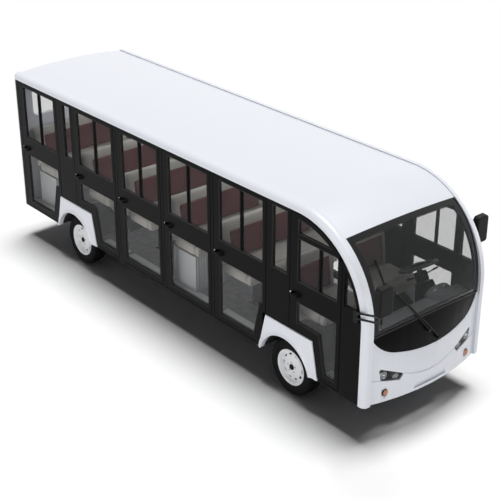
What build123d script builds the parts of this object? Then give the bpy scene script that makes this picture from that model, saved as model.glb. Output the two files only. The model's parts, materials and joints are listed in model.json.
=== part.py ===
"""Closed sightseeing car with six rows of seats, hinged glazed doors and a wrap-over nose.

Millimetres. X points forward, Y to the car's left, Z up.
The origin is on the ground, midway along and across.
"""
import os
from math import asin, cos, degrees, radians, sin

from build123d import *

# Overall sizes
SEAT_HALF = 650.0         # half the width of a bench, which sets the car's width
SEAT_ROOM = 30.0          # from a bench's end to the side structure
FRAME_Y = SEAT_HALF + SEAT_ROOM
WALL_T = 84.0             # side structure, from its inner face to the skin
SKIN_Y = FRAME_Y + WALL_T
SIDE_Y = SKIN_Y + 6.0     # outer face of the roof hoops
LEAF_T = 34.0             # thickness of a door leaf
PANEL_T = 40.0            # thickness of a fixed side panel
REAR_AXLE_X = -1896.0
REAR_OVERHANG = 1114.0    # from the rear axle to the rear end of hoops and roof
REAR_X = REAR_AXLE_X - REAR_OVERHANG
REAR_BOW = 38.0           # how far the rear panel stands out in its middle
REAR_BULGE_X = REAR_X - REAR_BOW
NOSE_X = 2832.0           # foremost point of the front panel
NOSE_BOW = 102.0          # how far the nose stands out between its edges
BUMPER_OUT = 8.0          # how far the bumper stands proud of the nose
SKIRT_Z = 385.0           # lower edge of the body
FLOOR_Z = 440.0           # top of the floor
FLOOR_T = 28.0
CONTACT = 0.3             # fitting gap between neighbouring panels

# Roof hoop, seen from the side: a straight rail, a quarter circle and a front post
ROOF_EDGE_Z = 2026.0
HOOP_CZ = 1136.0          # height at which the quarter circle springs from the post
HOOP_R_OUT = ROOF_EDGE_Z + 12.0 - HOOP_CZ
HOOP_BAND = 77.0
HOOP_R_IN = HOOP_R_OUT - HOOP_BAND
HOOP_CX = NOSE_X - NOSE_BOW + 30.0 - HOOP_R_OUT
HOOP_INNER_Y = FRAME_Y + 10.0
HOOP_ROUND = 50.0
RAIL_T = 16.0             # black cantrail lining the hoop
RAIL_R = HOOP_R_IN - RAIL_T
HEAD_Z = HOOP_CZ + RAIL_R
POST_BACK_X = HOOP_CX + RAIL_R
ROOF_CROWN = 38.0
ROOF_T = 28.0
SCREEN_TOP_DEG = 55.0     # windscreen's upper edge, as an angle on the hoop's circle
SCREEN_FOOT_Z = HOOP_CZ - 96.0
SCREEN_ARCH = 90.0        # rise of the windscreen's lower edge in the middle
SCREEN_T = 8.0
REAR_HALF = SKIN_Y + 2.0  # half the width of the rear panel
REAR_WINDOW_Z = HEAD_Z - 265.0

# Wheels and axles
FRONT_AXLE_X = 1719.0
TYRE_R = 287.5
AXLE_Z = TYRE_R
TYRE_W = 175.0
WHEEL_Y = SKIN_Y - 149.0  # centre plane of a tyre
RIM_FLANGE_R = 182.5
RIM_SEAT_R = 165.7
KINGPIN_Y = WHEEL_Y - 85.0
ARCH_R = TYRE_R + 62.5
ARCH_TOP_Z = 765.0        # upper edge of an arch trim
LIP = 46.0                # width of the flared lip round a wheel opening
PLATE_Y = SKIN_Y + 8.0    # outer face of an arch trim
STUB_R = 22.0
RUN = 0.3                 # running clearance at pins and hubs

# Doors and glazing
GAP = 6.0                 # clearance round a leaf
SILL_Z = SKIRT_Z + 23.0   # top of the sill
LEAF_FOOT_Z = SILL_Z + GAP
LEAF_HEAD_Z = HEAD_Z - GAP
STILE_REAR = 95.0
STILE_FRONT = 48.0
UPPER_WINDOW = (1285.0, HEAD_Z - 33.0)
LOWER_WINDOW = (470.0, 1085.0)
QUARTER_WINDOW = (1300.0, HEAD_Z - 20.0)
# Driver's door: foot and head of the panes, foot of the light over them
DRIVER_WINDOW = (1285.0, HEAD_Z - 230.0, HEAD_Z - 190.0)
MEETING_BAR = 18.0        # upright between the two panes of a window
PANE_ROUND = 16.0
GLASS_T = 6.0
GLASS_Y = SKIN_Y - 20.0   # inner face of side glass
PIVOT_R = 6.0
PIVOT_IN = 10.0           # pivot axis, in from the leaf's front edge and its outer face
SWING = 34.0              # corner of a leaf cut back behind its pivot, so that it swings clear
NOTCH_GLASS = 98.0        # lower glass stands this far off the arch trim
HANDLE_Z = 1150.0
# Path of a handle: along from the leaf's rear edge, out from its face
HANDLE = [(34.0, -2.0), (50.0, 30.0), (128.0, 30.0), (146.0, -2.0)]

# Seats
CUSHION_Z = (845.0, 980.0)
CUSHION_LEN = 424.7
BACK_TOP_Z = 1370.0

# Bays along the side: name, rear line, front line
BAYS = [
    ("1", REAR_X + 54.0, REAR_AXLE_X - 244.0),
    ("2", REAR_AXLE_X + 76.0, -1004.0),
    ("3", -968.0, -188.0),
    ("4", -152.0, 628.0),
    ("5", 664.0, FRONT_AXLE_X - 275.0),
    ("6", FRONT_AXLE_X + 45.0, FRONT_AXLE_X + 715.0),
]
# Quarter panels over the wheels: rear line, front line, window rear, window front
QUARTERS = [
    (REAR_AXLE_X - 244.0, REAR_AXLE_X + 76.0, REAR_AXLE_X - 120.0, REAR_AXLE_X + 44.0),
    (FRONT_AXLE_X - 275.0, FRONT_AXLE_X + 45.0, FRONT_AXLE_X - 195.0, FRONT_AXLE_X + 12.0),
]
# Doors: side, its sign, bay
DOORS = [("right", -1, bay) for bay in BAYS] + [("left", 1, BAYS[5])]
# Corner light ahead of the driver's door: rear, front, foot, head
CORNER_LIGHT = (BAYS[5][2] + 28.0, POST_BACK_X - 7.0, 1290.0, HEAD_Z - 245.0)
# Pillars between neighbouring doors: rear face, front face
PILLARS = [(BAYS[k][2], BAYS[k + 1][1]) for k in (1, 2, 3)]
# Sill lengths between the wheels: rear end, front end
SILLS = [
    (BAYS[0][1], REAR_AXLE_X - 385.0),
    (REAR_AXLE_X + 450.0, FRONT_AXLE_X - 385.0),
    (FRONT_AXLE_X + 450.0, POST_BACK_X),
]
# Arch trim corners, measured from the axle: along, height
TRIM = [(-375.0, SKIRT_Z), (-280.0, ARCH_TOP_Z), (360.0, ARCH_TOP_Z), (440.0, SKIRT_Z)]
# Seat rows: front edge of the cushion, kind of base
ROWS = [
    (1083.0, "legs"),
    (267.0, "box"),
    (-549.0, "legs"),
    (-1365.0, "legs"),
    (REAR_AXLE_X - 514.0, "box"),
]
FRONT_ROW_X = 2097.0
# Cushions: front edge, right end, left end
SEATS = [(FRONT_ROW_X, 10 - SEAT_HALF, -60.0), (FRONT_ROW_X, 60.0, SEAT_HALF - 10)]
SEATS += [(nose, -SEAT_HALF, SEAT_HALF) for nose, _ in ROWS]
WHEEL_TILT = 30.0         # steering wheel, tipped toward the driver
# Windscreen sections: angle on the hoop circle, depth of the edge under the hoop, bow at the middle
SCREEN_SECTIONS = [(SCREEN_TOP_DEG, 14.0, 38.0), (27.0, 19.0, 66.0), (0.0, 29.0, 96.0)]
SCREEN_FOOT = (32.0, 100.0)
# Wiper seen from ahead: pivots, where both arms meet the blade, and the line of the blade
WIPER_PIVOTS = [(56.0, 849.0), (-86.0, 974.0)]
WIPER_CLIP = (-532.0, 1510.0)
BLADE = [(-485.0, 1280.0), (-510.0, 1392.0), (-532.0, 1510.0), (-538.0, 1606.0), (-537.0, 1696.0)]
ARM_OFF = 26.0            # arms run this far ahead of the glass
BLADE_OFF = 12.0          # the blade's backbone, over its rubber edge
REACH_Y = SIDE_Y + 82.0   # mirror heads stand this far out
# Mirrors: head centre and width, bracket centre and size, and the bars as point pairs
MIRRORS = [
    (
        (3013, -REACH_Y - 6, 1592), 168, (2628, -SIDE_Y - 7, 1262), (55, 26, 110),
        [
            ((2640, -SIDE_Y - 10, 1300), (2984, -REACH_Y, 1432)),
            ((2640, -SIDE_Y - 10, 1246), (2988, -REACH_Y, 1374)),
            ((2988, -REACH_Y, 1374), (2984, -REACH_Y, 1432)),
            ((2984, -REACH_Y, 1432), (3008, -REACH_Y - 4, 1480)),
        ],
    ),
    (
        (2560, REACH_Y + 20, 1560), 156, (2610, SIDE_Y + 7, 1346), (55, 26, 76),
        [
            ((2610, SIDE_Y + 10, 1362), (2588, SIDE_Y + 90, 1378)),
            ((2588, SIDE_Y + 90, 1378), (2562, SIDE_Y + 100, 1440)),
            ((2610, SIDE_Y + 10, 1330), (2580, SIDE_Y + 108, 1348)),
            ((2580, SIDE_Y + 108, 1348), (2558, SIDE_Y + 112, 1440)),
        ],
    ),
]
SIDES = [("right", -1), ("left", 1)]
AXLES = [("front", FRONT_AXLE_X), ("rear", REAR_AXLE_X)]

os.makedirs("parts", exist_ok=True)


def side_plane(side, inner, outer):
    """Sketch plane on one side, seen with X and Z; extruding by outer - inner fills from inner to outer."""
    return Plane.XZ.offset(inner if side < 0 else -outer)


def hoop_band(r_in, r_out, x_rear, z_foot):
    """Face between two offsets of the hoop's curve."""
    with BuildSketch(Plane.XY, mode=Mode.PRIVATE) as band:
        with BuildLine():
            Line((x_rear, HOOP_CZ + r_in), (HOOP_CX, HOOP_CZ + r_in))
            CenterArc((HOOP_CX, HOOP_CZ), r_in, 0, 90)
            Line((HOOP_CX + r_in, HOOP_CZ), (HOOP_CX + r_in, z_foot))
            Line((HOOP_CX + r_in, z_foot), (HOOP_CX + r_out, z_foot))
            Line((HOOP_CX + r_out, z_foot), (HOOP_CX + r_out, HOOP_CZ))
            CenterArc((HOOP_CX, HOOP_CZ), r_out, 0, 90)
            Line((HOOP_CX, HOOP_CZ + r_out), (x_rear, HOOP_CZ + r_out))
            Line((x_rear, HOOP_CZ + r_out), (x_rear, HOOP_CZ + r_in))
        make_face()
    return band.sketch


def hoop_room(radius, x_rear):
    """Face of everything below and behind an inner offset of the hoop's curve."""
    with BuildSketch(Plane.XY, mode=Mode.PRIVATE) as room:
        with BuildLine():
            Line((x_rear, HOOP_CZ + radius), (HOOP_CX, HOOP_CZ + radius))
            CenterArc((HOOP_CX, HOOP_CZ), radius, 0, 90)
            Line((HOOP_CX + radius, HOOP_CZ), (HOOP_CX + radius, 0))
            Line((HOOP_CX + radius, 0), (x_rear, 0))
            Line((x_rear, 0), (x_rear, HOOP_CZ + radius))
        make_face()
    return room.sketch


def trims_off(margin):
    """Cuts both arch trims, grown by a margin, out of the sketch in hand."""
    for _, axle_x in AXLES:
        with BuildSketch(Plane.XY, mode=Mode.PRIVATE) as grown:
            with BuildLine():
                Polyline(*[(axle_x + x, z) for x, z in TRIM], close=True)
            make_face()
            if margin:
                offset(amount=margin, kind=Kind.INTERSECTION)
        add(grown.sketch, mode=Mode.SUBTRACT)


def block(x0, x1, z0, z1, mode=Mode.ADD):
    """Rectangle between two X and two Z lines of a side sketch."""
    with Locations(((x0 + x1) / 2, (z0 + z1) / 2)):
        Rectangle(x1 - x0, z1 - z0, mode=mode)


def windows(rear, front, inset):
    """Window faces of a bay: two sliding panes over one low pane, shrunk by an inset."""
    x0 = rear + STILE_REAR
    x1 = front - STILE_FRONT
    if front > HOOP_CX:
        x0 = rear + 105
        x1 = front - 52
        foot, head, light = DRIVER_WINDOW
        bars = [(foot, head, rear + 386), (light, HEAD_Z + RAIL_T, None)]
    else:
        bars = [(UPPER_WINDOW[0], UPPER_WINDOW[1], (x0 + x1) / 2)]
    spans = []
    for z0, z1, bar in bars:
        if bar:
            spans.append((x0, bar - MEETING_BAR / 2, z0, z1))
            spans.append((bar + MEETING_BAR / 2, x1, z0, z1))
        else:
            spans.append((x0, x1, z0, z1))
    faces = []
    for xa, xb, za, zb in spans:
        with BuildSketch(Plane.XY, mode=Mode.PRIVATE) as pane:
            block(xa, xb, za, zb)
            if front > HOOP_CX:
                add(hoop_room(RAIL_R - GAP - 38, 0), mode=Mode.INTERSECT)
            fillet(pane.vertices(), PANE_ROUND)
            if inset:
                offset(amount=-inset)
        faces.append(pane.sketch)
    with BuildSketch(Plane.XY, mode=Mode.PRIVATE) as low:
        block(x0, x1, *LOWER_WINDOW)
        trims_off(NOTCH_GLASS)
        fillet(low.vertices(), PANE_ROUND)
        if inset:
            offset(amount=-inset)
    faces.append(low.sketch)
    return faces


def pivot_x(front):
    """X of a leaf's pivot axis, from the bay's front line."""
    return front - GAP - PIVOT_IN


def pivot_foot(name):
    """Height of the seat under a leaf's lower pivot: the sill, or the arch trim's top edge."""
    return ARCH_TOP_Z if name in ("1", "5") else SILL_Z


def pivot_head(name, front):
    """Height of the cantrail's lower face over a leaf's pivot."""
    if name != "6":
        return HEAD_Z
    across = pivot_x(front) - HOOP_CX
    return HOOP_CZ + (RAIL_R**2 - across**2) ** 0.5


def rod(start, end, radius):
    """Round bar between two points, added to the part in hand."""
    path = Vector(*end) - Vector(*start)
    with BuildSketch(Plane(origin=start, z_dir=path), mode=Mode.PRIVATE) as section:
        Circle(radius)
    extrude(section.sketch, amount=path.length)


def write(part, name):
    """Labels a finished piece and writes its file."""
    part.label = name
    export_step(part, f"parts/{name}.step")


# Doors: six on the right, and the driver's on the left
for side_name, side, (bay_name, rear, front) in DOORS:
    with BuildPart() as leaf:
        with BuildSketch(side_plane(side, SKIN_Y - LEAF_T, SKIN_Y)):
            block(rear + GAP, front - GAP, LEAF_FOOT_Z, LEAF_HEAD_Z)
            if pivot_foot(bay_name) > SILL_Z:
                block(pivot_x(front) - SWING, front, 0, ARCH_TOP_Z + GAP, mode=Mode.SUBTRACT)
                trims_off(GAP + 4)
            else:
                trims_off(GAP)
            if bay_name == "6":
                add(hoop_room(RAIL_R - GAP, 0), mode=Mode.INTERSECT)
                corner_z = pivot_head(bay_name, front + PIVOT_IN + GAP) - 2 * GAP
                block(pivot_x(front) - SWING, front, corner_z, LEAF_HEAD_Z, mode=Mode.SUBTRACT)
            for pane in windows(rear, front, 0):
                add(pane, mode=Mode.SUBTRACT)
        extrude(amount=LEAF_T)
        hinge_edges = leaf.edges().filter_by(Axis.Z).filter_by(
            lambda e: abs(e.center().X - front + GAP) < 0.1 and abs(abs(e.center().Y) - SKIN_Y) < 0.1
        )
        fillet(hinge_edges, PIVOT_IN - 1)
        seat_low = pivot_foot(bay_name)
        seat_high = pivot_head(bay_name, front)
        pivot_y = side * (SKIN_Y - PIVOT_IN)
        with Locations((pivot_x(front), pivot_y, seat_low - 12)):
            Cylinder(PIVOT_R, 45, align=(Align.CENTER, Align.CENTER, Align.MIN))
        with Locations((pivot_x(front), pivot_y, seat_high + 12)):
            Cylinder(PIVOT_R, 60, align=(Align.CENTER, Align.CENTER, Align.MAX))
        with BuildLine() as handle_path:
            FilletPolyline(
                *[(rear + along, side * (SKIN_Y + out), HANDLE_Z) for along, out in HANDLE], radius=14,
            )
        with BuildSketch(Plane(origin=handle_path.line @ 0, x_dir=(0, 0, 1), z_dir=handle_path.line % 0)):
            SlotOverall(30, 13)
        sweep(path=handle_path.line)
    write(leaf.part, f"door_{side_name}_{bay_name}")
    with BuildPart() as glass:
        with BuildSketch(side_plane(side, GLASS_Y, GLASS_Y + GLASS_T)):
            for pane in windows(rear, front, 0.2):
                add(pane)
        extrude(amount=GLASS_T)
    write(glass.part, f"door_glass_{side_name}_{bay_name}")

# Fixed side panels: quarters, front corners, and the glazed bays of the left side


def corner_light(inset):
    """Small window ahead of the front door, under the hoop's curve, shrunk by an inset."""
    x0, x1, z0, z1 = CORNER_LIGHT
    with BuildSketch(Plane.XY, mode=Mode.PRIVATE) as light:
        block(x0 + inset, x1 - inset, z0 + inset, z1 - inset)
        add(hoop_room(RAIL_R - 30 - inset, 0), mode=Mode.INTERSECT)
    return light.sketch


with BuildPart() as fixed_panels:
    for _, side in SIDES:
        with BuildSketch(side_plane(side, SKIN_Y - PANEL_T, SKIN_Y)):
            for rear, front, win_rear, win_front in QUARTERS:
                block(rear, front, ARCH_TOP_Z, HEAD_Z)
                block(win_rear, win_front, *QUARTER_WINDOW, mode=Mode.SUBTRACT)
        extrude(amount=PANEL_T)
        with BuildSketch(side_plane(side, SKIN_Y - PANEL_T, SKIN_Y)):
            block(BAYS[5][2], POST_BACK_X, SILL_Z, HEAD_Z)
            add(hoop_room(RAIL_R, 0), mode=Mode.INTERSECT)
            add(corner_light(0), mode=Mode.SUBTRACT)
        extrude(amount=PANEL_T)
    with BuildSketch(side_plane(1, SKIN_Y - PANEL_T, SKIN_Y)):
        for _, rear, front in BAYS[:5]:
            block(rear, front, SILL_Z, HEAD_Z)
            for pane in windows(rear, front, 0):
                add(pane, mode=Mode.SUBTRACT)
        trims_off(0)
    extrude(amount=PANEL_T)
write(fixed_panels.part, "fixed_side_panels")

with BuildPart() as fixed_glass:
    for _, side in SIDES:
        with BuildSketch(side_plane(side, GLASS_Y, GLASS_Y + GLASS_T)):
            for rear, front, win_rear, win_front in QUARTERS:
                block(win_rear + 0.2, win_front - 0.2, QUARTER_WINDOW[0] + 0.2, QUARTER_WINDOW[1] - 0.2)
            add(corner_light(0.2))
        extrude(amount=GLASS_T)
    with BuildSketch(side_plane(1, GLASS_Y, GLASS_Y + GLASS_T)):
        for _, rear, front in BAYS[:5]:
            for pane in windows(rear, front, 0.2):
                add(pane)
    extrude(amount=GLASS_T)
write(fixed_glass.part, "fixed_side_glass")

# Side structure: hoops outside, cantrails lining them, pillars and sills
with BuildPart() as hoops:
    for _, side in SIDES:
        with BuildSketch(side_plane(side, HOOP_INNER_Y, SIDE_Y)):
            add(hoop_band(HOOP_R_IN, HOOP_R_OUT, REAR_X, SKIRT_Z - 3))
        extrude(amount=SIDE_Y - HOOP_INNER_Y)
    outer_edges = hoops.edges().filter_by(
        lambda e: abs(abs(e.center().Y) - SIDE_Y) < 0.1
        and (
            abs(e.center().Z - HOOP_CZ - HOOP_R_OUT) < 0.1
            or abs(e.center().X - HOOP_CX - HOOP_R_OUT) < 0.1
            or (e.geom_type == GeomType.CIRCLE and abs(e.radius - HOOP_R_OUT) < 0.1)
        )
    )
    fillet(outer_edges, HOOP_ROUND)
write(hoops.part, "roof_hoops")

with BuildPart() as cantrails:
    for _, side in SIDES:
        with BuildSketch(side_plane(side, FRAME_Y, SKIN_Y)):
            add(hoop_band(RAIL_R, HOOP_R_IN, REAR_X, SKIRT_Z - 3))
        extrude(amount=SKIN_Y - FRAME_Y)
    for _, side, (bay_name, rear, front) in DOORS:
        with Locations((pivot_x(front), side * (SKIN_Y - PIVOT_IN), pivot_head(bay_name, front) - 14)):
            Cylinder(
                PIVOT_R + RUN, 27.5, align=(Align.CENTER, Align.CENTER, Align.MIN), mode=Mode.SUBTRACT
            )
write(cantrails.part, "cantrails")

with BuildPart() as pillars:
    for _, side in SIDES:
        with BuildSketch(side_plane(side, FRAME_Y, SKIN_Y)):
            for rear, front in PILLARS:
                block(rear, front, SILL_Z, HEAD_Z)
            block(REAR_X, BAYS[0][1], SKIRT_Z, HEAD_Z)
        extrude(amount=SKIN_Y - FRAME_Y)
write(pillars.part, "side_pillars")

with BuildPart() as sills:
    for _, side in SIDES:
        with BuildSketch(side_plane(side, FRAME_Y, SKIN_Y)):
            for rear, front in SILLS:
                block(rear, front, SKIRT_Z, SILL_Z)
        extrude(amount=SKIN_Y - FRAME_Y)
    for _, side, (bay_name, rear, front) in DOORS:
        if pivot_foot(bay_name) == SILL_Z:
            with Locations((pivot_x(front), side * (SKIN_Y - PIVOT_IN), SILL_Z)):
                Cylinder(
                    PIVOT_R + RUN, 30, align=(Align.CENTER, Align.CENTER, Align.MAX), mode=Mode.SUBTRACT
                )
write(sills.part, "sills")

# Arch trims: a flat plate on the skin with a flared lip turned about the axle
with BuildPart() as lips:
    for _, side in SIDES:
        for _, axle_x in AXLES:
            with BuildSketch(Plane.YZ.offset(axle_x)):
                with BuildLine():
                    low = AXLE_Z + ARCH_R
                    back = side * (SKIN_Y - LEAF_T)
                    edge = side * (SKIN_Y + 19)
                    bead = side * (SKIN_Y + 23.5)
                    flare = side * (SKIN_Y + 25)
                    hollow = side * (SKIN_Y + 14)
                    plate = side * PLATE_Y
                    Line((back, low), (edge, low))
                    ThreePointArc((edge, low), (bead, low + 2.5), (flare, low + 8))
                    ThreePointArc((flare, low + 8), (hollow, low + 22), (plate, low + LIP))
                    Line((plate, low + LIP), (back, low + LIP))
                    Line((back, low + LIP), (back, low))
                make_face()
            revolve(axis=Axis((axle_x, 0, AXLE_Z), (0, 1, 0)))
    with BuildSketch(Plane.XZ):
        for _, axle_x in AXLES:
            with BuildLine():
                Polyline(*[(axle_x + x, z) for x, z in TRIM], close=True)
            make_face()
    extrude(amount=2 * SIDE_Y, both=True, mode=Mode.INTERSECT)

with BuildPart() as trims:
    for _, side in SIDES:
        for _, axle_x in AXLES:
            with BuildSketch(side_plane(side, SKIN_Y - LEAF_T, PLATE_Y)):
                with BuildLine():
                    Polyline(*[(axle_x + x, z) for x, z in TRIM], close=True)
                make_face()
                with Locations((axle_x, AXLE_Z)):
                    Circle(ARCH_R, mode=Mode.SUBTRACT)
            extrude(amount=LEAF_T + PLATE_Y - SKIN_Y)
    rims = trims.edges().filter_by(GeomType.LINE).filter_by(
        lambda e: abs(abs(e.center().Y) - PLATE_Y) < 0.1 and e.center().Z > SKIRT_Z + 60
    )
    chamfer(rims, 6)
    add(lips.part)
    for _, side, (bay_name, rear, front) in DOORS:
        if pivot_foot(bay_name) > SILL_Z:
            with Locations((pivot_x(front), side * (SKIN_Y - PIVOT_IN), ARCH_TOP_Z)):
                Cylinder(
                    PIVOT_R + RUN, 13, align=(Align.CENTER, Align.CENTER, Align.MAX), mode=Mode.SUBTRACT
                )
write(trims.part, "wheel_arch_trims")

with BuildPart() as housings:
    for _, side in SIDES:
        for _, axle_x in AXLES:
            with BuildSketch(side_plane(side, 360, SKIN_Y - LEAF_T)):
                with Locations((axle_x, AXLE_Z)):
                    Circle(ARCH_R + 15)
                    Circle(ARCH_R + 5, mode=Mode.SUBTRACT)
                block(axle_x - 500, axle_x + 500, -200, SKIRT_Z, mode=Mode.SUBTRACT)
            extrude(amount=SKIN_Y - LEAF_T - 360)
            with BuildSketch(side_plane(side, 350, 360)):
                with Locations((axle_x, AXLE_Z)):
                    Circle(ARCH_R + 15)
                block(axle_x - 500, axle_x + 500, -200, FLOOR_Z - FLOOR_T, mode=Mode.SUBTRACT)
            extrude(amount=10)
write(housings.part, "wheel_housings")

# Roof skin: a crowned section run forward and then rolled over the hoop's circle
with BuildPart() as roof:
    for roof_x in (REAR_X, HOOP_CX):
        with BuildSketch(Plane.YZ.offset(roof_x)):
            with BuildLine():
                low = ROOF_EDGE_Z - ROOF_T
                ThreePointArc(
                    (-HOOP_INNER_Y, ROOF_EDGE_Z), (0, ROOF_EDGE_Z + ROOF_CROWN), (HOOP_INNER_Y, ROOF_EDGE_Z)
                )
                Line((HOOP_INNER_Y, ROOF_EDGE_Z), (HOOP_INNER_Y, low))
                ThreePointArc((HOOP_INNER_Y, low), (0, low + ROOF_CROWN), (-HOOP_INNER_Y, low))
                Line((-HOOP_INNER_Y, low), (-HOOP_INNER_Y, ROOF_EDGE_Z))
            make_face()
        if roof_x == REAR_X:
            extrude(amount=HOOP_CX - REAR_X)
        else:
            revolve(
                axis=Axis((HOOP_CX, 0, HOOP_CZ), (0, 1, 0)), revolution_arc=90 - SCREEN_TOP_DEG
            )
write(roof.part, "roof_panel")

def screen_arch(rise):
    """Face under the windscreen's arched lower edge, moved up or down, seen from ahead."""
    reach = HOOP_INNER_Y + 20
    foot = SCREEN_FOOT_Z + rise
    with BuildSketch(Plane.XY, mode=Mode.PRIVATE) as under:
        with BuildLine():
            ThreePointArc((-reach, foot), (0, foot + SCREEN_ARCH), (reach, foot))
            Line((reach, foot), (reach, SKIRT_Z))
            Line((reach, SKIRT_Z), (-reach, SKIRT_Z))
            Line((-reach, SKIRT_Z), (-reach, foot))
        make_face()
    return under.sketch


# Windscreen: crowned bands lofted down the hoop's circle to the nose, with an arched lower edge
with BuildPart() as windscreen:
    half = HOOP_INNER_Y - CONTACT
    for angle, depth, bow in SCREEN_SECTIONS + [("foot", *SCREEN_FOOT)]:
        foot = angle == "foot"
        turn = radians(0 if foot else angle)
        radius = HOOP_R_OUT - depth
        origin = (HOOP_CX, 0, SCREEN_FOOT_Z - 10 if foot else HOOP_CZ)
        with BuildSketch(Plane(origin=origin, x_dir=(0, 1, 0), z_dir=(sin(turn), 0, -cos(turn)))):
            with BuildLine():
                inner = radius - SCREEN_T
                ThreePointArc((-half, radius), (0, radius + bow), (half, radius))
                Line((half, radius), (half, inner))
                ThreePointArc((half, inner), (0, inner + bow), (-half, inner))
                Line((-half, inner), (-half, radius))
            make_face()
    loft()
    with BuildSketch(Plane.YZ.offset(HOOP_CX)):
        add(screen_arch(CONTACT))
    extrude(amount=2 * HOOP_R_OUT, mode=Mode.SUBTRACT)
write(windscreen.part, "windscreen")


def nose_band(outer_in, inner_in):
    """Plan face of the nose between two depths under its outer surface."""
    edge = NOSE_X - NOSE_BOW
    half = HOOP_INNER_Y - CONTACT
    with BuildSketch(Plane.XY, mode=Mode.PRIVATE) as band:
        with BuildLine():
            ThreePointArc((edge - outer_in, -half), (NOSE_X - outer_in, 0), (edge - outer_in, half))
            Line((edge - outer_in, half), (edge - inner_in, half))
            ThreePointArc((edge - inner_in, half), (NOSE_X - inner_in, 0), (edge - inner_in, -half))
            Line((edge - inner_in, -half), (edge - outer_in, -half))
        make_face()
    return band.sketch


def smile():
    """Face over the smile-shaped edge between the white front and the black panel, seen from ahead."""
    tip = (HOOP_INNER_Y - 14, SCREEN_FOOT_Z - 10)
    top = (HOOP_INNER_Y + 110, SCREEN_FOOT_Z + 160)
    with BuildSketch(Plane.XY, mode=Mode.PRIVATE) as over:
        with BuildLine():
            ThreePointArc((-434, SCREEN_FOOT_Z - 190), (0, SCREEN_FOOT_Z - 243), (434, SCREEN_FOOT_Z - 190))
            ThreePointArc((434, SCREEN_FOOT_Z - 190), (588, SCREEN_FOOT_Z - 115), tip)
            Line(tip, top)
            Line(top, (-top[0], top[1]))
            Line((-top[0], top[1]), (-tip[0], tip[1]))
            ThreePointArc((-tip[0], tip[1]), (-588, SCREEN_FOOT_Z - 115), (-434, SCREEN_FOOT_Z - 190))
        make_face()
    return over.sketch


def bumper():
    """Face of the bumper, which stands proud of the nose under a dipping crease, seen from ahead."""
    reach = HOOP_INNER_Y + 20
    edge = [(330, 609), (376, 557), (576, 600), (reach, 626), (reach, SKIRT_Z - 50)]
    with BuildSketch(Plane.XY, mode=Mode.PRIVATE) as low:
        with BuildLine():
            ThreePointArc((-330, 609), (0, 545), (330, 609))
            Polyline(*edge, *[(-y, z) for y, z in reversed(edge)])
        make_face()
    return low.sketch


def lamp_outline(side):
    """Slanting outline of a headlamp, seen from ahead."""
    with BuildSketch(Plane.XY, mode=Mode.PRIVATE) as outline:
        with BuildLine():
            Polyline(
                (side * 600, 728), (side * 330, 609), (side * 376, 557), (side * 576, 600), close=True
            )
        make_face()
        fillet(outline.vertices(), 18)
    return outline.sketch


def nose_depth(edge):
    """Distance of an edge's middle under the nose's outer surface, measured along X."""
    half = HOOP_INNER_Y - CONTACT
    radius = (half**2 + NOSE_BOW**2) / (2 * NOSE_BOW)
    middle = edge @ 0.5
    return NOSE_X - radius + (radius**2 - middle.Y**2) ** 0.5 - middle.X


with BuildPart() as fascia:
    with BuildSketch(Plane.XY.offset(SKIRT_Z - 3)):
        add(nose_band(-BUMPER_OUT, 40))
    extrude(amount=300)
    with BuildSketch(Plane.YZ.offset(2000)):
        add(bumper())
    extrude(amount=1000, mode=Mode.INTERSECT)
    front_rim = fascia.edges().filter_by(
        lambda e: e.center().X > NOSE_X - NOSE_BOW - 4 and e.center().Z > SKIRT_Z + 100 and e.length > 30
    )
    shoulder = front_rim.filter_by(lambda e: nose_depth(e) < 1 - BUMPER_OUT)
    fillet(shoulder, 5)
    with BuildSketch(Plane.XY.offset(SKIRT_Z - 3)):
        add(nose_band(0, 40))
    extrude(amount=SCREEN_FOOT_Z - SKIRT_Z + 3)
    with BuildSketch(Plane.YZ.offset(2000)):
        add(smile())
    extrude(amount=1000, mode=Mode.SUBTRACT)
    with BuildSketch(Plane.YZ.offset(2000)):
        add(lamp_outline(-1))
        add(lamp_outline(1))
        with Locations((-530, 475), (530, 475)):
            Circle(30)
    extrude(amount=1000, mode=Mode.SUBTRACT)
    with BuildSketch(Plane.YZ.offset(NOSE_X - 14)):
        with BuildLine():
            Polyline((-212, 408), (-182, 474), (182, 474), (212, 408), close=True)
        make_face()
    extrude(amount=60, mode=Mode.SUBTRACT)
write(fascia.part, "front_fascia")

with BuildPart() as nose_panel:
    with BuildSketch(Plane.XY.offset(SCREEN_FOOT_Z - 340)):
        add(nose_band(5, 40))
    extrude(amount=340 + SCREEN_ARCH)
    with BuildSketch(Plane.YZ.offset(2000)):
        add(smile())
        add(screen_arch(-CONTACT), mode=Mode.INTERSECT)
    extrude(amount=1000, mode=Mode.INTERSECT)
write(nose_panel.part, "nose_black_panel")

with BuildPart() as headlamps:
    with BuildSketch(Plane.XY.offset(500)):
        add(nose_band(5, 52))
    extrude(amount=260)
    with BuildSketch(Plane.YZ.offset(2000)):
        add(lamp_outline(-1))
        add(lamp_outline(1))
    extrude(amount=1000, mode=Mode.INTERSECT)
    for side in (-1, 1):
        for lens_y, lens_z, lens_r in ((543, 644, 44), (412, 603, 34)):
            with Locations((2790 - 104 * (lens_y / 690) ** 2, side * lens_y, lens_z)):
                Cylinder(lens_r, 80, rotation=(0, 90, 0), mode=Mode.SUBTRACT,
                         align=(Align.CENTER, Align.CENTER, Align.MIN))
write(headlamps.part, "headlamps")

with BuildPart() as turn_lamps:
    with BuildSketch(Plane.YZ.offset(2735)):
        with Locations((-530, 475), (530, 475)):
            Circle(29.8)
    extrude(amount=54)
    fillet(turn_lamps.faces().sort_by(Axis.X)[-2:].edges(), 8)
write(turn_lamps.part, "turn_lamps")

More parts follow.
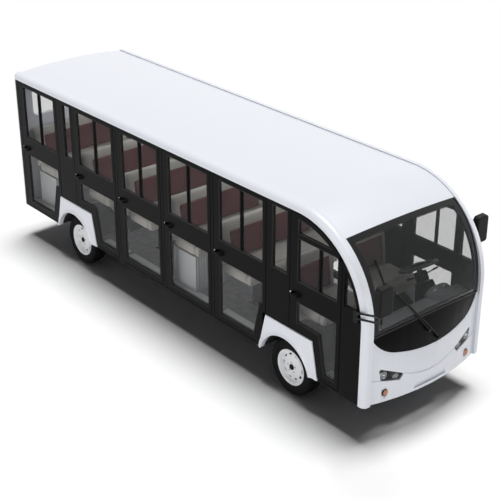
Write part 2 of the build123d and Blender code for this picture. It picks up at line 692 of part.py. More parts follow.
# Rear: a bowed outer skin on a flat inner wall, with a window and lamp pockets
with BuildPart() as rear_panel:
    with BuildSketch(Plane.XY.offset(SKIRT_Z)):
        with BuildLine():
            ThreePointArc((REAR_X - 10, -REAR_HALF), (REAR_BULGE_X, 0), (REAR_X - 10, REAR_HALF))
            Line((REAR_X - 10, REAR_HALF), (REAR_X, REAR_HALF))
            Line((REAR_X, REAR_HALF), (REAR_X, -REAR_HALF))
            Line((REAR_X, -REAR_HALF), (REAR_X - 10, -REAR_HALF))
        make_face()
    extrude(amount=HEAD_Z + 5 - SKIRT_Z)
    with BuildSketch(Plane.YZ.offset(REAR_X)):
        with BuildLine():
            low = ROOF_EDGE_Z - ROOF_T
            reach = FRAME_Y
            drop = ROOF_CROWN * (reach / HOOP_INNER_Y) ** 2
            top = low + ROOF_CROWN - drop - 0.3
            ThreePointArc((-reach, top), (0, low + ROOF_CROWN - 0.3), (reach, top))
            Line((reach, top), (reach, FLOOR_Z))
            Line((reach, FLOOR_Z), (-reach, FLOOR_Z))
            Line((-reach, FLOOR_Z), (-reach, top))
        make_face()
    extrude(amount=30)
    with BuildSketch(Plane.YZ.offset(REAR_X - 100)):
        with Locations((0, REAR_WINDOW_Z)):
            RectangleRounded(1160, 400, 60)
    extrude(amount=200, mode=Mode.SUBTRACT)
    with BuildSketch(Plane.YZ.offset(REAR_X - 100)):
        with Locations((-645, 880), (645, 880)):
            RectangleRounded(110, 300, 30)
    extrude(amount=92, mode=Mode.SUBTRACT)
    with BuildSketch(Plane.YZ.offset(REAR_BULGE_X - 20)):
        with Locations((0, 700)):
            RectangleRounded(460, 150, 12)
    extrude(amount=28, mode=Mode.SUBTRACT)
    with BuildSketch(Plane.XY.offset(560)):
        with BuildLine():
            ThreePointArc((REAR_X - 10, -REAR_HALF), (REAR_BULGE_X, 0), (REAR_X - 10, REAR_HALF))
            Line((REAR_X - 10, REAR_HALF), (REAR_X - 16, REAR_HALF))
            ThreePointArc((REAR_X - 16, REAR_HALF), (REAR_BULGE_X - 6, 0), (REAR_X - 16, -REAR_HALF))
            Line((REAR_X - 16, -REAR_HALF), (REAR_X - 10, -REAR_HALF))
        make_face()
    extrude(amount=SKIRT_Z - 560)
write(rear_panel.part, "rear_panel")

with BuildPart() as rear_window:
    with BuildSketch(Plane.YZ.offset(REAR_X)):
        with Locations((0, REAR_WINDOW_Z)):
            RectangleRounded(1159.6, 399.6, 59.8)
    extrude(amount=8)
write(rear_window.part, "rear_window")

with BuildPart() as tail_lamps:
    with BuildSketch(Plane.YZ.offset(REAR_X - 26)):
        with Locations((-645, 880), (645, 880)):
            RectangleRounded(109.6, 299.6, 29.8)
    extrude(amount=18)
    fillet(tail_lamps.faces().sort_by(Axis.X)[:2].edges(), 8)
write(tail_lamps.part, "tail_lamps")

# Chassis: a welded ladder with outriggers under the floor
with BuildPart() as chassis:
    for side in (-1, 1):
        with Locations((-110, side * 290, 371)):
            Box(5620, 80, 82)
        for spring_x in (FRONT_AXLE_X, REAR_AXLE_X):
            for end in (-450, 450):
                for cheek in (268, 332):
                    with Locations((spring_x + end, side * cheek, 305)):
                        Box(44, 14 - 2 * RUN, 54)
    for cross_x in (-2890, -2380, -1330, -986, -170, 646, 1180, 2260, 2670):
        with Locations((cross_x, 0, 372)):
            Box(60, 560, 60)
    for out_x in (-2650, -986, -170, 646, 2480):
        for side in (-1, 1):
            with Locations((out_x, side * (330 + FRAME_Y) / 2, 390)):
                Box(60, FRAME_Y - 330, 44)
write(chassis.part, "chassis_frame")

with BuildPart() as tow_eyes:
    for tip_x, root_x in ((2776, 2700), (-3016, -2920)):
        with BuildSketch(side_plane(-1, -8, 8)):
            block(min(tip_x, root_x), max(tip_x, root_x), 345, 381)
            with Locations((tip_x, 363)):
                Circle(18)
                Circle(12, mode=Mode.SUBTRACT)
        extrude(amount=16)
write(tow_eyes.part, "tow_eyes")

with BuildPart() as floor:
    wells = ARCH_R - 6.6
    rear_end = REAR_X + 30 + CONTACT
    front_end = POST_BACK_X - 7
    with Locations(((rear_end + front_end) / 2, 0, FLOOR_Z - FLOOR_T / 2)):
        Box(front_end - rear_end, 700, FLOOR_T)
    for rear, front in (
        (rear_end, REAR_AXLE_X - wells),
        (REAR_AXLE_X + wells, FRONT_AXLE_X - wells),
        (FRONT_AXLE_X + wells, front_end),
    ):
        for side in (-1, 1):
            edge = FRAME_Y - CONTACT
            with Locations(((rear + front) / 2, side * (352 + edge) / 2, FLOOR_Z - FLOOR_T / 2)):
                Box(front - rear, edge - 352, FLOOR_T)
write(floor.part, "floor_panels")

# Axles, springs and steering
with BuildPart() as front_axle:
    with Locations((FRONT_AXLE_X, 0, 215)):
        Box(60, 2 * KINGPIN_Y - 20, 50)
    for side in (-1, 1):
        with Locations((FRONT_AXLE_X, side * KINGPIN_Y, 190)):
            Cylinder(21.5, 50, align=(Align.CENTER, Align.CENTER, Align.MIN))
            Cylinder(16, 140, align=(Align.CENTER, Align.CENTER, Align.MIN))
        with Locations((FRONT_AXLE_X, side * KINGPIN_Y, 321)):
            Cylinder(24, 10, align=(Align.CENTER, Align.CENTER, Align.MIN))
        with Locations((FRONT_AXLE_X, side * 300, 247.5)):
            Box(90, 50, 15)
write(front_axle.part, "front_axle")

with BuildPart() as rear_axle:
    with Locations((REAR_AXLE_X, 0, AXLE_Z)):
        Cylinder(38, 1100, rotation=(90, 0, 0))
        Cylinder(STUB_R, 1280, rotation=(90, 0, 0))
        Cylinder(100, 180, rotation=(90, 0, 0))
    with Locations((REAR_AXLE_X + 215, 0, AXLE_Z)):
        Cylinder(85, 330, rotation=(0, 90, 0))
    for side in (-1, 1):
        with Locations((REAR_AXLE_X, side * 556, AXLE_Z)):
            Cylinder(105, 12, rotation=(90, 0, 0))
        with Locations((REAR_AXLE_X, side * 300, 255)):
            Box(90, 50, 12)
write(rear_axle.part, "rear_axle")

with BuildPart() as springs:
    for spring_x, mid_z in ((FRONT_AXLE_X, 270), (REAR_AXLE_X, 233)):
        for side in (-1, 1):
            with BuildSketch(side_plane(side, 275, 325)):
                with BuildLine():
                    ThreePointArc((spring_x - 450, 315), (spring_x, mid_z + 15), (spring_x + 450, 315))
                    Line((spring_x + 450, 315), (spring_x + 450, 285))
                    ThreePointArc((spring_x + 450, 285), (spring_x, mid_z - 15), (spring_x - 450, 285))
                    Line((spring_x - 450, 285), (spring_x - 450, 315))
                make_face()
                with Locations((spring_x - 450, 300), (spring_x + 450, 300)):
                    Circle(19)
            extrude(amount=50)
write(springs.part, "leaf_springs")

for side_name, side in SIDES:
    with BuildPart() as knuckle:
        with Locations((FRONT_AXLE_X, side * KINGPIN_Y, 242)):
            Cylinder(30, 77, align=(Align.CENTER, Align.CENTER, Align.MIN))
        with Locations((FRONT_AXLE_X, side * 590, AXLE_Z)):
            Cylinder(STUB_R, 100, rotation=(90, 0, 0))
        with Locations((FRONT_AXLE_X, side * 562, AXLE_Z)):
            Cylinder(105, 10, rotation=(90, 0, 0))
        with Locations((FRONT_AXLE_X - 45, side * 516, 254)):
            Box(90, 22, 20)
        with Locations((FRONT_AXLE_X - 90, side * 516, 254)):
            Cylinder(16, 20)
        with Locations((FRONT_AXLE_X, side * KINGPIN_Y, 280)):
            Cylinder(16 + RUN, 120, mode=Mode.SUBTRACT)
    write(knuckle.part, f"knuckle_{side_name}")

with BuildPart() as tie_rod:
    rod((FRONT_AXLE_X - 90, -516, 234.5), (FRONT_AXLE_X - 90, 516, 234.5), 9)
write(tie_rod.part, "tie_rod")

# Wheels: pressed-steel rim with vents, and a tyre
for axle_name, axle_x in AXLES:
    for side_name, side in SIDES:
        out = Plane(origin=(axle_x, side * WHEEL_Y, AXLE_Z), x_dir=(1, 0, 0), z_dir=(0, side, 0))
        section = Plane(origin=out.origin, x_dir=(1, 0, 0), z_dir=(0, 0, side))
        axis = Axis(out.origin, (0, side, 0))
        with BuildPart() as rim:
            with BuildSketch(section):
                with BuildLine():
                    Polyline(
                        (RIM_FLANGE_R, 76), (RIM_FLANGE_R, 71), (RIM_SEAT_R, 66), (RIM_SEAT_R, -66),
                        (RIM_FLANGE_R, -71), (RIM_FLANGE_R, -76), (158, -70), (158, 28), (104, 40), (66, 52),
                        (40, 52), (40, -40), (STUB_R + RUN, -40), (STUB_R + RUN, 60), (70, 60), (110, 48),
                        (158, 38), (158, 70), close=True,
                    )
                make_face()
            revolve(axis=axis)
            with BuildSketch(out.offset(-20)):
                with PolarLocations(128, 10):
                    SlotOverall(40, 20, rotation=90)
            extrude(amount=90, mode=Mode.SUBTRACT)
        write(rim.part, f"rim_{axle_name}_{side_name}")
        with BuildPart() as tyre:
            with BuildSketch(section):
                with BuildLine():
                    Polyline(
                        (TYRE_R, 60), (270, 82), (232, TYRE_W / 2), (184, 70), (166, 65),
                        (166, -65), (184, -70), (232, -TYRE_W / 2), (270, -82), (TYRE_R, -60), close=True,
                    )
                make_face()
            revolve(axis=axis)
        write(tyre.part, f"tyre_{axle_name}_{side_name}")

# Seats: cushions, leaning backs, and their bases
with BuildPart() as cushions:
    for nose, y0, y1 in SEATS:
        with BuildSketch(Plane.XZ.offset(-y1)):
            block(nose - CUSHION_LEN, nose, *CUSHION_Z)
        extrude(amount=y1 - y0)
    fillet(cushions.edges().filter_by(Axis.Y).filter_by(
        lambda e: any(abs(e.center().X - nose) < 0.1 for nose, _, _ in SEATS)), 50)
write(cushions.part, "seat_cushions")

with BuildPart() as backs:
    for nose, y0, y1 in SEATS:
        with BuildSketch(Plane.XZ.offset(-y1)):
            with BuildLine():
                Polyline(
                    (nose - 425, 880), (nose - 485, BACK_TOP_Z), (nose - 560, BACK_TOP_Z), (nose - 525, 880),
                    close=True,
                )
            make_face()
        extrude(amount=y1 - y0)
    fillet(backs.faces().filter_by(Axis.Z).filter_by(lambda f: f.center().Z > 1300).edges(), 24)
write(backs.part, "seat_backs")

with BuildPart() as seat_bases:
    for nose in [FRONT_ROW_X] + [x for x, kind in ROWS if kind == "legs"]:
        for side in (-1, 1):
            with Locations((nose - 240, side * 215, (FLOOR_Z + CUSHION_Z[0]) / 2)):
                Box(250, 190, CUSHION_Z[0] - FLOOR_Z)
write(seat_bases.part, "seat_pedestals")

with BuildPart() as battery_boxes:
    for nose in [x for x, kind in ROWS if kind == "box"]:
        with Locations((nose - 245, 0, (FLOOR_Z + CUSHION_Z[0]) / 2)):
            Box(370, 2 * SEAT_HALF - 20, CUSHION_Z[0] - FLOOR_Z)
write(battery_boxes.part, "battery_boxes")

# Driver's place
with BuildPart() as dashboard:
    with BuildSketch(Plane.XZ.offset(-SEAT_HALF - 5)):
        with BuildLine():
            Polyline(
                (2560, FLOOR_Z), (2560, 780), (2480, 800), (2495, 1035), (2560, 1062), (2670, 1030),
                (2670, FLOOR_Z), close=True,
            )
        make_face()
    extrude(amount=2 * SEAT_HALF + 10)
write(dashboard.part, "dashboard")

wheel_axis = (-sin(radians(WHEEL_TILT)), 0, cos(radians(WHEEL_TILT)))
wheel_hub = Plane(origin=(2273, 378, 1221), x_dir=(0, 1, 0), z_dir=wheel_axis)
with BuildPart() as column:
    with BuildSketch(Plane.XZ.offset(-458)):
        with BuildLine():
            Polyline((2350, FLOOR_Z), (2480, FLOOR_Z), (2480, 1010), (2390, 1110), (2320, 1080), close=True)
        make_face()
    extrude(amount=160)
    with BuildSketch(wheel_hub.offset(-160)):
        Circle(26)
    extrude(amount=135)
    with BuildSketch(wheel_hub.offset(-30)):
        Circle(9)
    extrude(amount=40)
write(column.part, "steering_column")

with BuildPart() as steering_wheel:
    across = wheel_hub.z_dir.cross(wheel_hub.x_dir)
    with BuildSketch(Plane(origin=wheel_hub.origin, x_dir=(0, 1, 0), z_dir=across)):
        with Locations((178, 0)):
            Circle(13)
    revolve(axis=Axis(wheel_hub.origin, wheel_hub.z_dir))
    with BuildSketch(wheel_hub.offset(-24.5)):
        Circle(42)
    extrude(amount=40)
    with BuildSketch(wheel_hub.offset(-10)):
        with PolarLocations(100, 3, start_angle=30):
            Rectangle(150, 26)
    extrude(amount=14)
    with BuildSketch(wheel_hub.offset(-30)):
        Circle(9 + RUN)
    extrude(amount=40 + RUN, mode=Mode.SUBTRACT)
write(steering_wheel.part, "steering_wheel")

# Mirrors on the front corners: the right one reaches ahead, the left one stands beside the corner
with BuildPart() as mirrors:
    for head, width, bracket, size, bars in MIRRORS:
        with BuildSketch(Plane.YZ.offset(head[0] - 32)):
            with Locations(head[1:]):
                RectangleRounded(width, 272, 34)
        extrude(amount=62, taper=5)
        for start, end in bars:
            rod(start, end, 10)
            with Locations(end):
                Sphere(10)
        with Locations(bracket):
            Box(*size)
    shells = mirrors.faces().filter_by(Axis.X).filter_by(lambda f: f.area > 25000)
    fillet(shells.sort_by(Axis.X)[1].edges() + shells.sort_by(Axis.X)[-1].edges(), 16)
write(mirrors.part, "mirrors")


def off_screen(y, z, clear):
    """Point ahead of the windscreen by a clearance, at a place seen from ahead."""
    fall = 1 - (y / HOOP_INNER_Y) ** 2
    angle = 0.0
    for _ in range(8):
        for upper, lower in zip(SCREEN_SECTIONS, SCREEN_SECTIONS[1:]):
            if lower[0] <= angle:
                share = (angle - lower[0]) / (upper[0] - lower[0])
                depth = lower[1] + share * (upper[1] - lower[1])
                bow = lower[2] + share * (upper[2] - lower[2])
                break
        radius = HOOP_R_OUT - depth + bow * fall
        angle = degrees(asin(max(0.0, z - HOOP_CZ) / radius))
    reach = radius + clear
    rise = min(0.0, z - HOOP_CZ)
    return (HOOP_CX + reach * cos(radians(angle)), y, HOOP_CZ + rise + reach * sin(radians(angle)))


# Wiper: two parallel arms from pivots on the black panel to one blade on the glass
with BuildPart() as wiper:
    for y, z in WIPER_PIVOTS:
        with BuildSketch(Plane.YZ.offset(NOSE_X - 60)):
            with Locations((y, z)):
                Circle(19)
        extrude(amount=60 + ARM_OFF + 4)
    with BuildSketch(Plane.XY.offset(SCREEN_FOOT_Z - 340)):
        add(nose_band(5, 200))
    extrude(amount=400, mode=Mode.SUBTRACT)
    for y, z in WIPER_PIVOTS:
        line = [(y + (WIPER_CLIP[0] - y) * k / 5, z + (WIPER_CLIP[1] - z) * k / 5) for k in range(6)]
        with BuildLine() as arm:
            Spline(*[off_screen(a, b, ARM_OFF) for a, b in line])
        with BuildSketch(Plane(origin=arm.line @ 0, z_dir=arm.line % 0)):
            Circle(6)
        sweep(path=arm.line)
    with BuildLine() as edge:
        Spline(*[off_screen(a, b, BLADE_OFF) for a, b in BLADE])
    with BuildSketch(Plane(origin=edge.line @ 0, z_dir=edge.line % 0)):
        Circle(8)
    sweep(path=edge.line)
    rod(off_screen(*WIPER_CLIP, BLADE_OFF - 4), off_screen(*WIPER_CLIP, ARM_OFF + 10), 10)
write(wiper.part, "wiper")
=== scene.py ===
"""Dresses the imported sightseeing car: paint, glass, seals, seats, lamps, wheels and a plain studio round it.

Metres throughout. X points forward, Y to the car's left, Z up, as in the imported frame.
"""
from __future__ import annotations

import json
import logging
import math
from dataclasses import dataclass, field
from enum import Enum
from typing import Callable, Sequence

import bmesh
import bpy
from mathutils import Matrix, Vector
from mathutils.bvhtree import BVHTree

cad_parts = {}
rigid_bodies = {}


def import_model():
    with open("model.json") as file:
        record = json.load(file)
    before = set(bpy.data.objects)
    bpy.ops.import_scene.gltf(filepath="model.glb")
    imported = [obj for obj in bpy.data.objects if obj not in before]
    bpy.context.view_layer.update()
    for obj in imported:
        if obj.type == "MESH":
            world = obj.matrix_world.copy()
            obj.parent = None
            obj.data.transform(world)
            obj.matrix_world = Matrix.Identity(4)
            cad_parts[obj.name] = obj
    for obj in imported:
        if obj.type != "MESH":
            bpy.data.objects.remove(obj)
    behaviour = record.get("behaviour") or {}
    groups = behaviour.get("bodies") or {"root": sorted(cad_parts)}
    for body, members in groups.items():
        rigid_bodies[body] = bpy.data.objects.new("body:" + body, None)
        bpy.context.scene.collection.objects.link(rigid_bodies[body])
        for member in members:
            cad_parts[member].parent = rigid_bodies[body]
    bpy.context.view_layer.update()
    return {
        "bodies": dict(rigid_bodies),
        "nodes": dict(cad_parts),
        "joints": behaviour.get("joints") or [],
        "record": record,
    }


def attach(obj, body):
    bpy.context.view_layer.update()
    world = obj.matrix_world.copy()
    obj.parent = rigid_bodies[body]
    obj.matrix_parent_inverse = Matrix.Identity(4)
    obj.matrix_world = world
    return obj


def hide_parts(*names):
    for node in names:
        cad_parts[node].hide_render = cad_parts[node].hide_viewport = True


LOG = logging.getLogger("sightseeing_car")
Point2 = tuple[float, float]
Point3 = tuple[float, float, float]
Colour = tuple[float, float, float]
Profile = tuple[Point2, ...]
Faces = list[tuple[int, ...]]
Material = bpy.types.Material
Mesh = bpy.types.Mesh
Outlet = bpy.types.NodeSocket
Piece = bpy.types.Object

# The car's own measures that several classes share.
AXLES: dict[str, float] = {"front": 1.719, "rear": -1.896}
HOOP_X, HOOP_Z = 1.858, 1.136
AHEAD: Point3 = (1, 0, 0)
UP: Point3 = (0, 0, 1)

# Shading values that several finishes share.
MID_NOISE: Point2 = (0.3, 0.7)
GLASS_IOR = 1.52
DUST_ON_BLACK: Colour = (0.008, 0.0078, 0.0075)
SHARP_DEGREES = 35.0

# Numbers of the colour sockets on Blender's mix node.
MIX_FIRST, MIX_SECOND, MIX_RESULT = 6, 7, 2


class Side(Enum):
    """The two long sides of the car, valued by the sign of Y."""

    RIGHT = -1
    LEFT = 1

    @property
    def tag(self) -> str:
        """Returns the side's word in the names of pieces and bodies."""
        return self.name.lower()


class Grain(Enum):
    """Surface texture of a moulded or sewn finish."""

    FINE = 900.0
    LEATHER = 420.0
    COARSE = 240.0


def socket(node: bpy.types.Node, name: str, value: object) -> None:
    """Sets one input socket of a node."""
    node.inputs[name].default_value = value


@dataclass
class ShaderBoard:
    """A fresh material with its principled shader, and short ways to add nodes to it."""

    name: str
    material: Material = field(init=False)
    shader: bpy.types.Node = field(init=False)

    def __post_init__(self) -> None:
        """Makes the material and finds its shader."""
        self.material = bpy.data.materials.new(self.name)
        self.material.use_nodes = True
        self.shader = self.material.node_tree.nodes["Principled BSDF"]

    def add(self, kind: str, **values: object) -> bpy.types.Node:
        """Adds a node.

        Args:
            kind: Blender's type name of the node.
            values: attributes to set on it.

        Returns:
            The new node.
        """
        node = self.material.node_tree.nodes.new(kind)
        for key, value in values.items():
            setattr(node, key, value)
        return node

    def link(self, source: Outlet, node: bpy.types.Node, name: str | int) -> None:
        """Links an output socket to an input of a node."""
        self.material.node_tree.links.new(source, node.inputs[name])

    def place(self) -> Outlet:
        """Returns the socket of the object's own coordinates."""
        return self.add("ShaderNodeTexCoord").outputs["Object"]

    def axes(self) -> bpy.types.bpy_prop_collection:
        """Returns the sockets of the object's own X, Y and Z, by name."""
        node = self.add("ShaderNodeSeparateXYZ")
        self.link(self.place(), node, 0)
        return node.outputs

    def noise(self, scale: float, detail: float) -> Outlet:
        """Adds a noise texture in object space.

        Args:
            scale: features per metre, roughly.
            detail: octaves.

        Returns:
            Its grey output socket.
        """
        node = self.add("ShaderNodeTexNoise")
        socket(node, "Scale", scale)
        socket(node, "Detail", detail)
        self.link(self.place(), node, "Vector")
        return node.outputs["Fac"]

    def blend(self, amount: Outlet, low: Colour, high: Colour, span: Point2) -> Outlet:
        """Adds a ramp between two colours.

        Args:
            amount: the grey socket that drives it.
            low: colour at the start of the span.
            high: colour at its end.
            span: positions of the two stops.

        Returns:
            The ramp's colour socket.
        """
        ramp = self.add("ShaderNodeValToRGB")
        ramp.color_ramp.elements[0].position = span[0]
        ramp.color_ramp.elements[1].position = span[1]
        ramp.color_ramp.elements[0].color = (*low, 1)
        ramp.color_ramp.elements[1].color = (*high, 1)
        self.link(amount, ramp, "Fac")
        return ramp.outputs["Color"]

    def relief(self, height: Outlet, strength: float, distance: float) -> None:
        """Drives the shader's normal from a height socket."""
        bump = self.add("ShaderNodeBump")
        socket(bump, "Strength", strength)
        socket(bump, "Distance", distance)
        self.link(height, bump, "Height")
        self.link(bump.outputs["Normal"], self.shader, "Normal")

    def map_range(self, value: Outlet, low: float, high: float, out: Point2) -> Outlet:
        """Maps a grey socket from one span to another, clamped, and returns the result."""
        node = self.add("ShaderNodeMapRange")
        socket(node, "From Min", low)
        socket(node, "From Max", high)
        socket(node, "To Min", out[0])
        socket(node, "To Max", out[1])
        self.link(value, node, "Value")
        return node.outputs["Result"]

    def math(self, operation: str, first: object, second: object = 0.0) -> Outlet:
        """Adds one arithmetic step on sockets or numbers and returns its output."""
        node = self.add("ShaderNodeMath", operation=operation)
        for index, value in enumerate((first, second)):
            if isinstance(value, Outlet):
                self.link(value, node, index)
            else:
                node.inputs[index].default_value = float(value)
        return node.outputs["Value"]

    def mix(self, amount: Outlet, first: object, second: Colour) -> Outlet:
        """Mixes two colours.

        Args:
            amount: socket that gives 0 for the first and 1 for the second.
            first: a colour, or the socket of one.
            second: a colour.

        Returns:
            The socket of the mixed colour.
        """
        node = self.add("ShaderNodeMix", data_type="RGBA")
        self.link(amount, node, 0)
        if isinstance(first, Outlet):
            self.link(first, node, MIX_FIRST)
        else:
            node.inputs[MIX_FIRST].default_value = (*first, 1)
        node.inputs[MIX_SECOND].default_value = (*second, 1)
        return node.outputs[MIX_RESULT]

    def tone(self, noise: Point2, colour: Colour, factors: Point2, span: Point2 = MID_NOISE) -> None:
        """Lets the base colour wander between two shades of a colour.

        Args:
            noise: scale and detail of the noise that drives it.
            colour: the colour.
            factors: how dark and how light it gets.
            span: the noise's values at the two shades.
        """
        low, high = (shade(colour, factor) for factor in factors)
        self.link(self.blend(self.noise(*noise), low, high, span), self.shader, "Base Color")

    def vary(self, name: str, noise: Point2, span: Point2, base: float, factors: Point2) -> None:
        """Lets one of the shader's inputs wander round a value.

        Args:
            name: the input.
            noise: scale and detail of the noise that drives it.
            span: the noise's values at the two ends.
            base: the value.
            factors: what it is multiplied by at the two ends.
        """
        out = (base * factors[0], base * factors[1])
        self.link(self.map_range(self.noise(*noise), *span, out), self.shader, name)


def shade(colour: Colour, factor: float) -> Colour:
    """Returns a colour made lighter or darker by a factor."""
    return (colour[0] * factor, colour[1] * factor, colour[2] * factor)


@dataclass(frozen=True)
class GlossPaint:
    """Sprayed paint under a clear coat, a little dull towards the road."""

    name: str
    colour: Colour
    roughness: float
    coat: float
    dust: float = 0.94
    specular: float = 0.5
    dusty_z: Point2 = (0.36, 0.72)
    pale_from: float = 0.3

    def material(self) -> Material:
        """Returns the paint as a material."""
        board = ShaderBoard(self.name)
        mottled = board.blend(board.noise(1.1, 1.0), shade(self.colour, 0.992), self.colour, MID_NOISE)
        low = board.map_range(board.axes()["Z"], *self.dusty_z, (1.0, 0.0))
        veil = board.math("MULTIPLY", low, board.noise(9.0, 5.0))
        dusty = shade(self.colour, self.dust) if self.colour[0] > self.pale_from else DUST_ON_BLACK
        board.link(board.mix(veil, mottled, dusty), board.shader, "Base Color")
        board.vary("Roughness", (2.0, 1.0), MID_NOISE, self.roughness, (0.95, 1.06))
        socket(board.shader, "Coat Weight", self.coat)
        socket(board.shader, "Coat Roughness", 0.16)
        socket(board.shader, "Specular IOR Level", self.specular)
        board.relief(board.noise(240.0, 2.0), 0.02, 0.0004)
        return board.material


@dataclass(frozen=True)
class MouldedPlastic:
    """Plastic or rubber with a moulded grain."""

    name: str
    colour: Colour
    roughness: float
    grain: Grain
    depth: float
    specular: float = 0.25

    def material(self) -> Material:
        """Returns the plastic as a material."""
        board = ShaderBoard(self.name)
        board.tone((14.0, 6.0), self.colour, (0.8, 1.25))
        board.vary("Roughness", (30.0, 3.0), MID_NOISE, self.roughness, (0.9, 1.15))
        socket(board.shader, "Specular IOR Level", self.specular)
        board.relief(board.noise(self.grain.value, 4.0), self.depth, 0.0012)
        return board.material


@dataclass(frozen=True)
class SewnLeather:
    """Coated seat leather with a cell grain and a soft sheen."""

    name: str
    colour: Colour
    roughness: float = 0.48

    def material(self) -> Material:
        """Returns the leather as a material."""
        board = ShaderBoard(self.name)
        cells = board.add("ShaderNodeTexVoronoi", feature="DISTANCE_TO_EDGE")
        socket(cells, "Scale", Grain.LEATHER.value)
        board.link(board.place(), cells, "Vector")
        board.tone((7.0, 5.0), self.colour, (0.86, 1.06), (0.3, 0.72))
        board.vary("Roughness", (18.0, 3.0), MID_NOISE, self.roughness, (0.88, 1.15))
        socket(board.shader, "Sheen Weight", 0.08)
        board.relief(cells.outputs["Distance"], 0.22, 0.0015)
        return board.material


@dataclass(frozen=True)
class TintedGlass:
    """Flat safety glass that lets part of the cabin show, greyer in its low panes."""

    name: str
    colour: Colour
    cover: float
    roughness: float
    low_colour: Colour | None = None
    specular: float = 0.5
    split: Point2 = (1.12, 1.22)

    def material(self) -> Material:
        """Returns the glass as a material."""
        board = ShaderBoard(self.name)
        rise = board.map_range(board.axes()["Z"], *self.split, (0.0, 1.0))
        tint = board.blend(rise, self.low_colour or self.colour, self.colour, (0.0, 1.0))
        board.link(tint, board.shader, "Base Color")
        socket(board.shader, "IOR", GLASS_IOR)
        socket(board.shader, "Specular IOR Level", self.specular)
        board.vary("Roughness", (3.5, 6.0), (0.35, 0.75), self.roughness, (1.0, 3.0))
        board.vary("Alpha", (1.6, 4.0), MID_NOISE, self.cover, (0.94, 1.06))
        return board.material


@dataclass(frozen=True)
class BorderedScreen:
    """Windscreen glass with a printed black border, placed by the screen's own shape."""

    name: str
    colour: Colour
    cover: float
    border: Colour = (0.008, 0.008, 0.009)
    half_clear: float = 0.625
    top_degrees: float = 50.8
    foot: float = 1.180
    sag: float = 0.20
    fade: float = 0.006
    fade_turn: float = 0.008

    def material(self) -> Material:
        """Returns the bordered glass as a material."""
        board = ShaderBoard(self.name)
        axes = board.axes()
        across = board.math("ABSOLUTE", axes["Y"])
        over = board.math("SUBTRACT", axes["Z"], HOOP_Z)
        ahead = board.math("SUBTRACT", axes["X"], HOOP_X)
        angle = board.math("ARCTAN2", over, ahead)
        edge = board.map_range(across, self.half_clear - self.fade, self.half_clear + self.fade, (0.0, 1.0))
        limit = math.radians(self.top_degrees)
        top = board.map_range(angle, limit - self.fade_turn, limit + self.fade_turn, (0.0, 1.0))
        sag = board.math("MULTIPLY", board.math("MULTIPLY", across, across), self.sag)
        level = board.math("ADD", axes["Z"], sag)
        low = board.map_range(level, self.foot - self.fade, self.foot + self.fade, (1.0, 0.0))
        mask = board.math("MAXIMUM", board.math("MAXIMUM", edge, top), low)
        board.link(board.mix(mask, self.colour, self.border), board.shader, "Base Color")
        board.link(board.map_range(mask, 0.0, 1.0, (self.cover, 1.0)), board.shader, "Alpha")
        board.vary("Roughness", (4.0, 5.0), (0.35, 0.75), 1.0, (0.02, 0.05))
        socket(board.shader, "IOR", GLASS_IOR)
        socket(board.shader, "Specular IOR Level", 0.22)
        return board.material


@dataclass(frozen=True)
class BareMetal:
    """Plated, polished or cast metal."""

    name: str
    colour: Colour
    roughness: float
    metallic: float = 1.0

    def material(self) -> Material:
        """Returns the metal as a material."""
        board = ShaderBoard(self.name)
        socket(board.shader, "Metallic", self.metallic)
        board.tone((26.0, 5.0), self.colour, (0.9, 1.0))
        board.vary("Roughness", (60.0, 3.0), MID_NOISE, self.roughness, (0.8, 1.3))
        return board.material


@dataclass(frozen=True)
class RibbedLens:
    """Coloured or pearly lamp lens with moulded ribs."""

    name: str
    colour: Colour
    ribs: float = 70.0

    def material(self) -> Material:
        """Returns the lens as a material."""
        board = ShaderBoard(self.name)
        board.tone((40.0, 3.0), self.colour, (0.85, 1.0))
        socket(board.shader, "Roughness", 0.08)
        socket(board.shader, "Coat Weight", 0.5)
        wave = board.add("ShaderNodeTexWave", bands_direction="Y")
        socket(wave, "Scale", self.ribs)
        board.link(board.place(), wave, "Vector")
        board.relief(wave.outputs["Fac"], 0.18, 0.002)
        return board.material


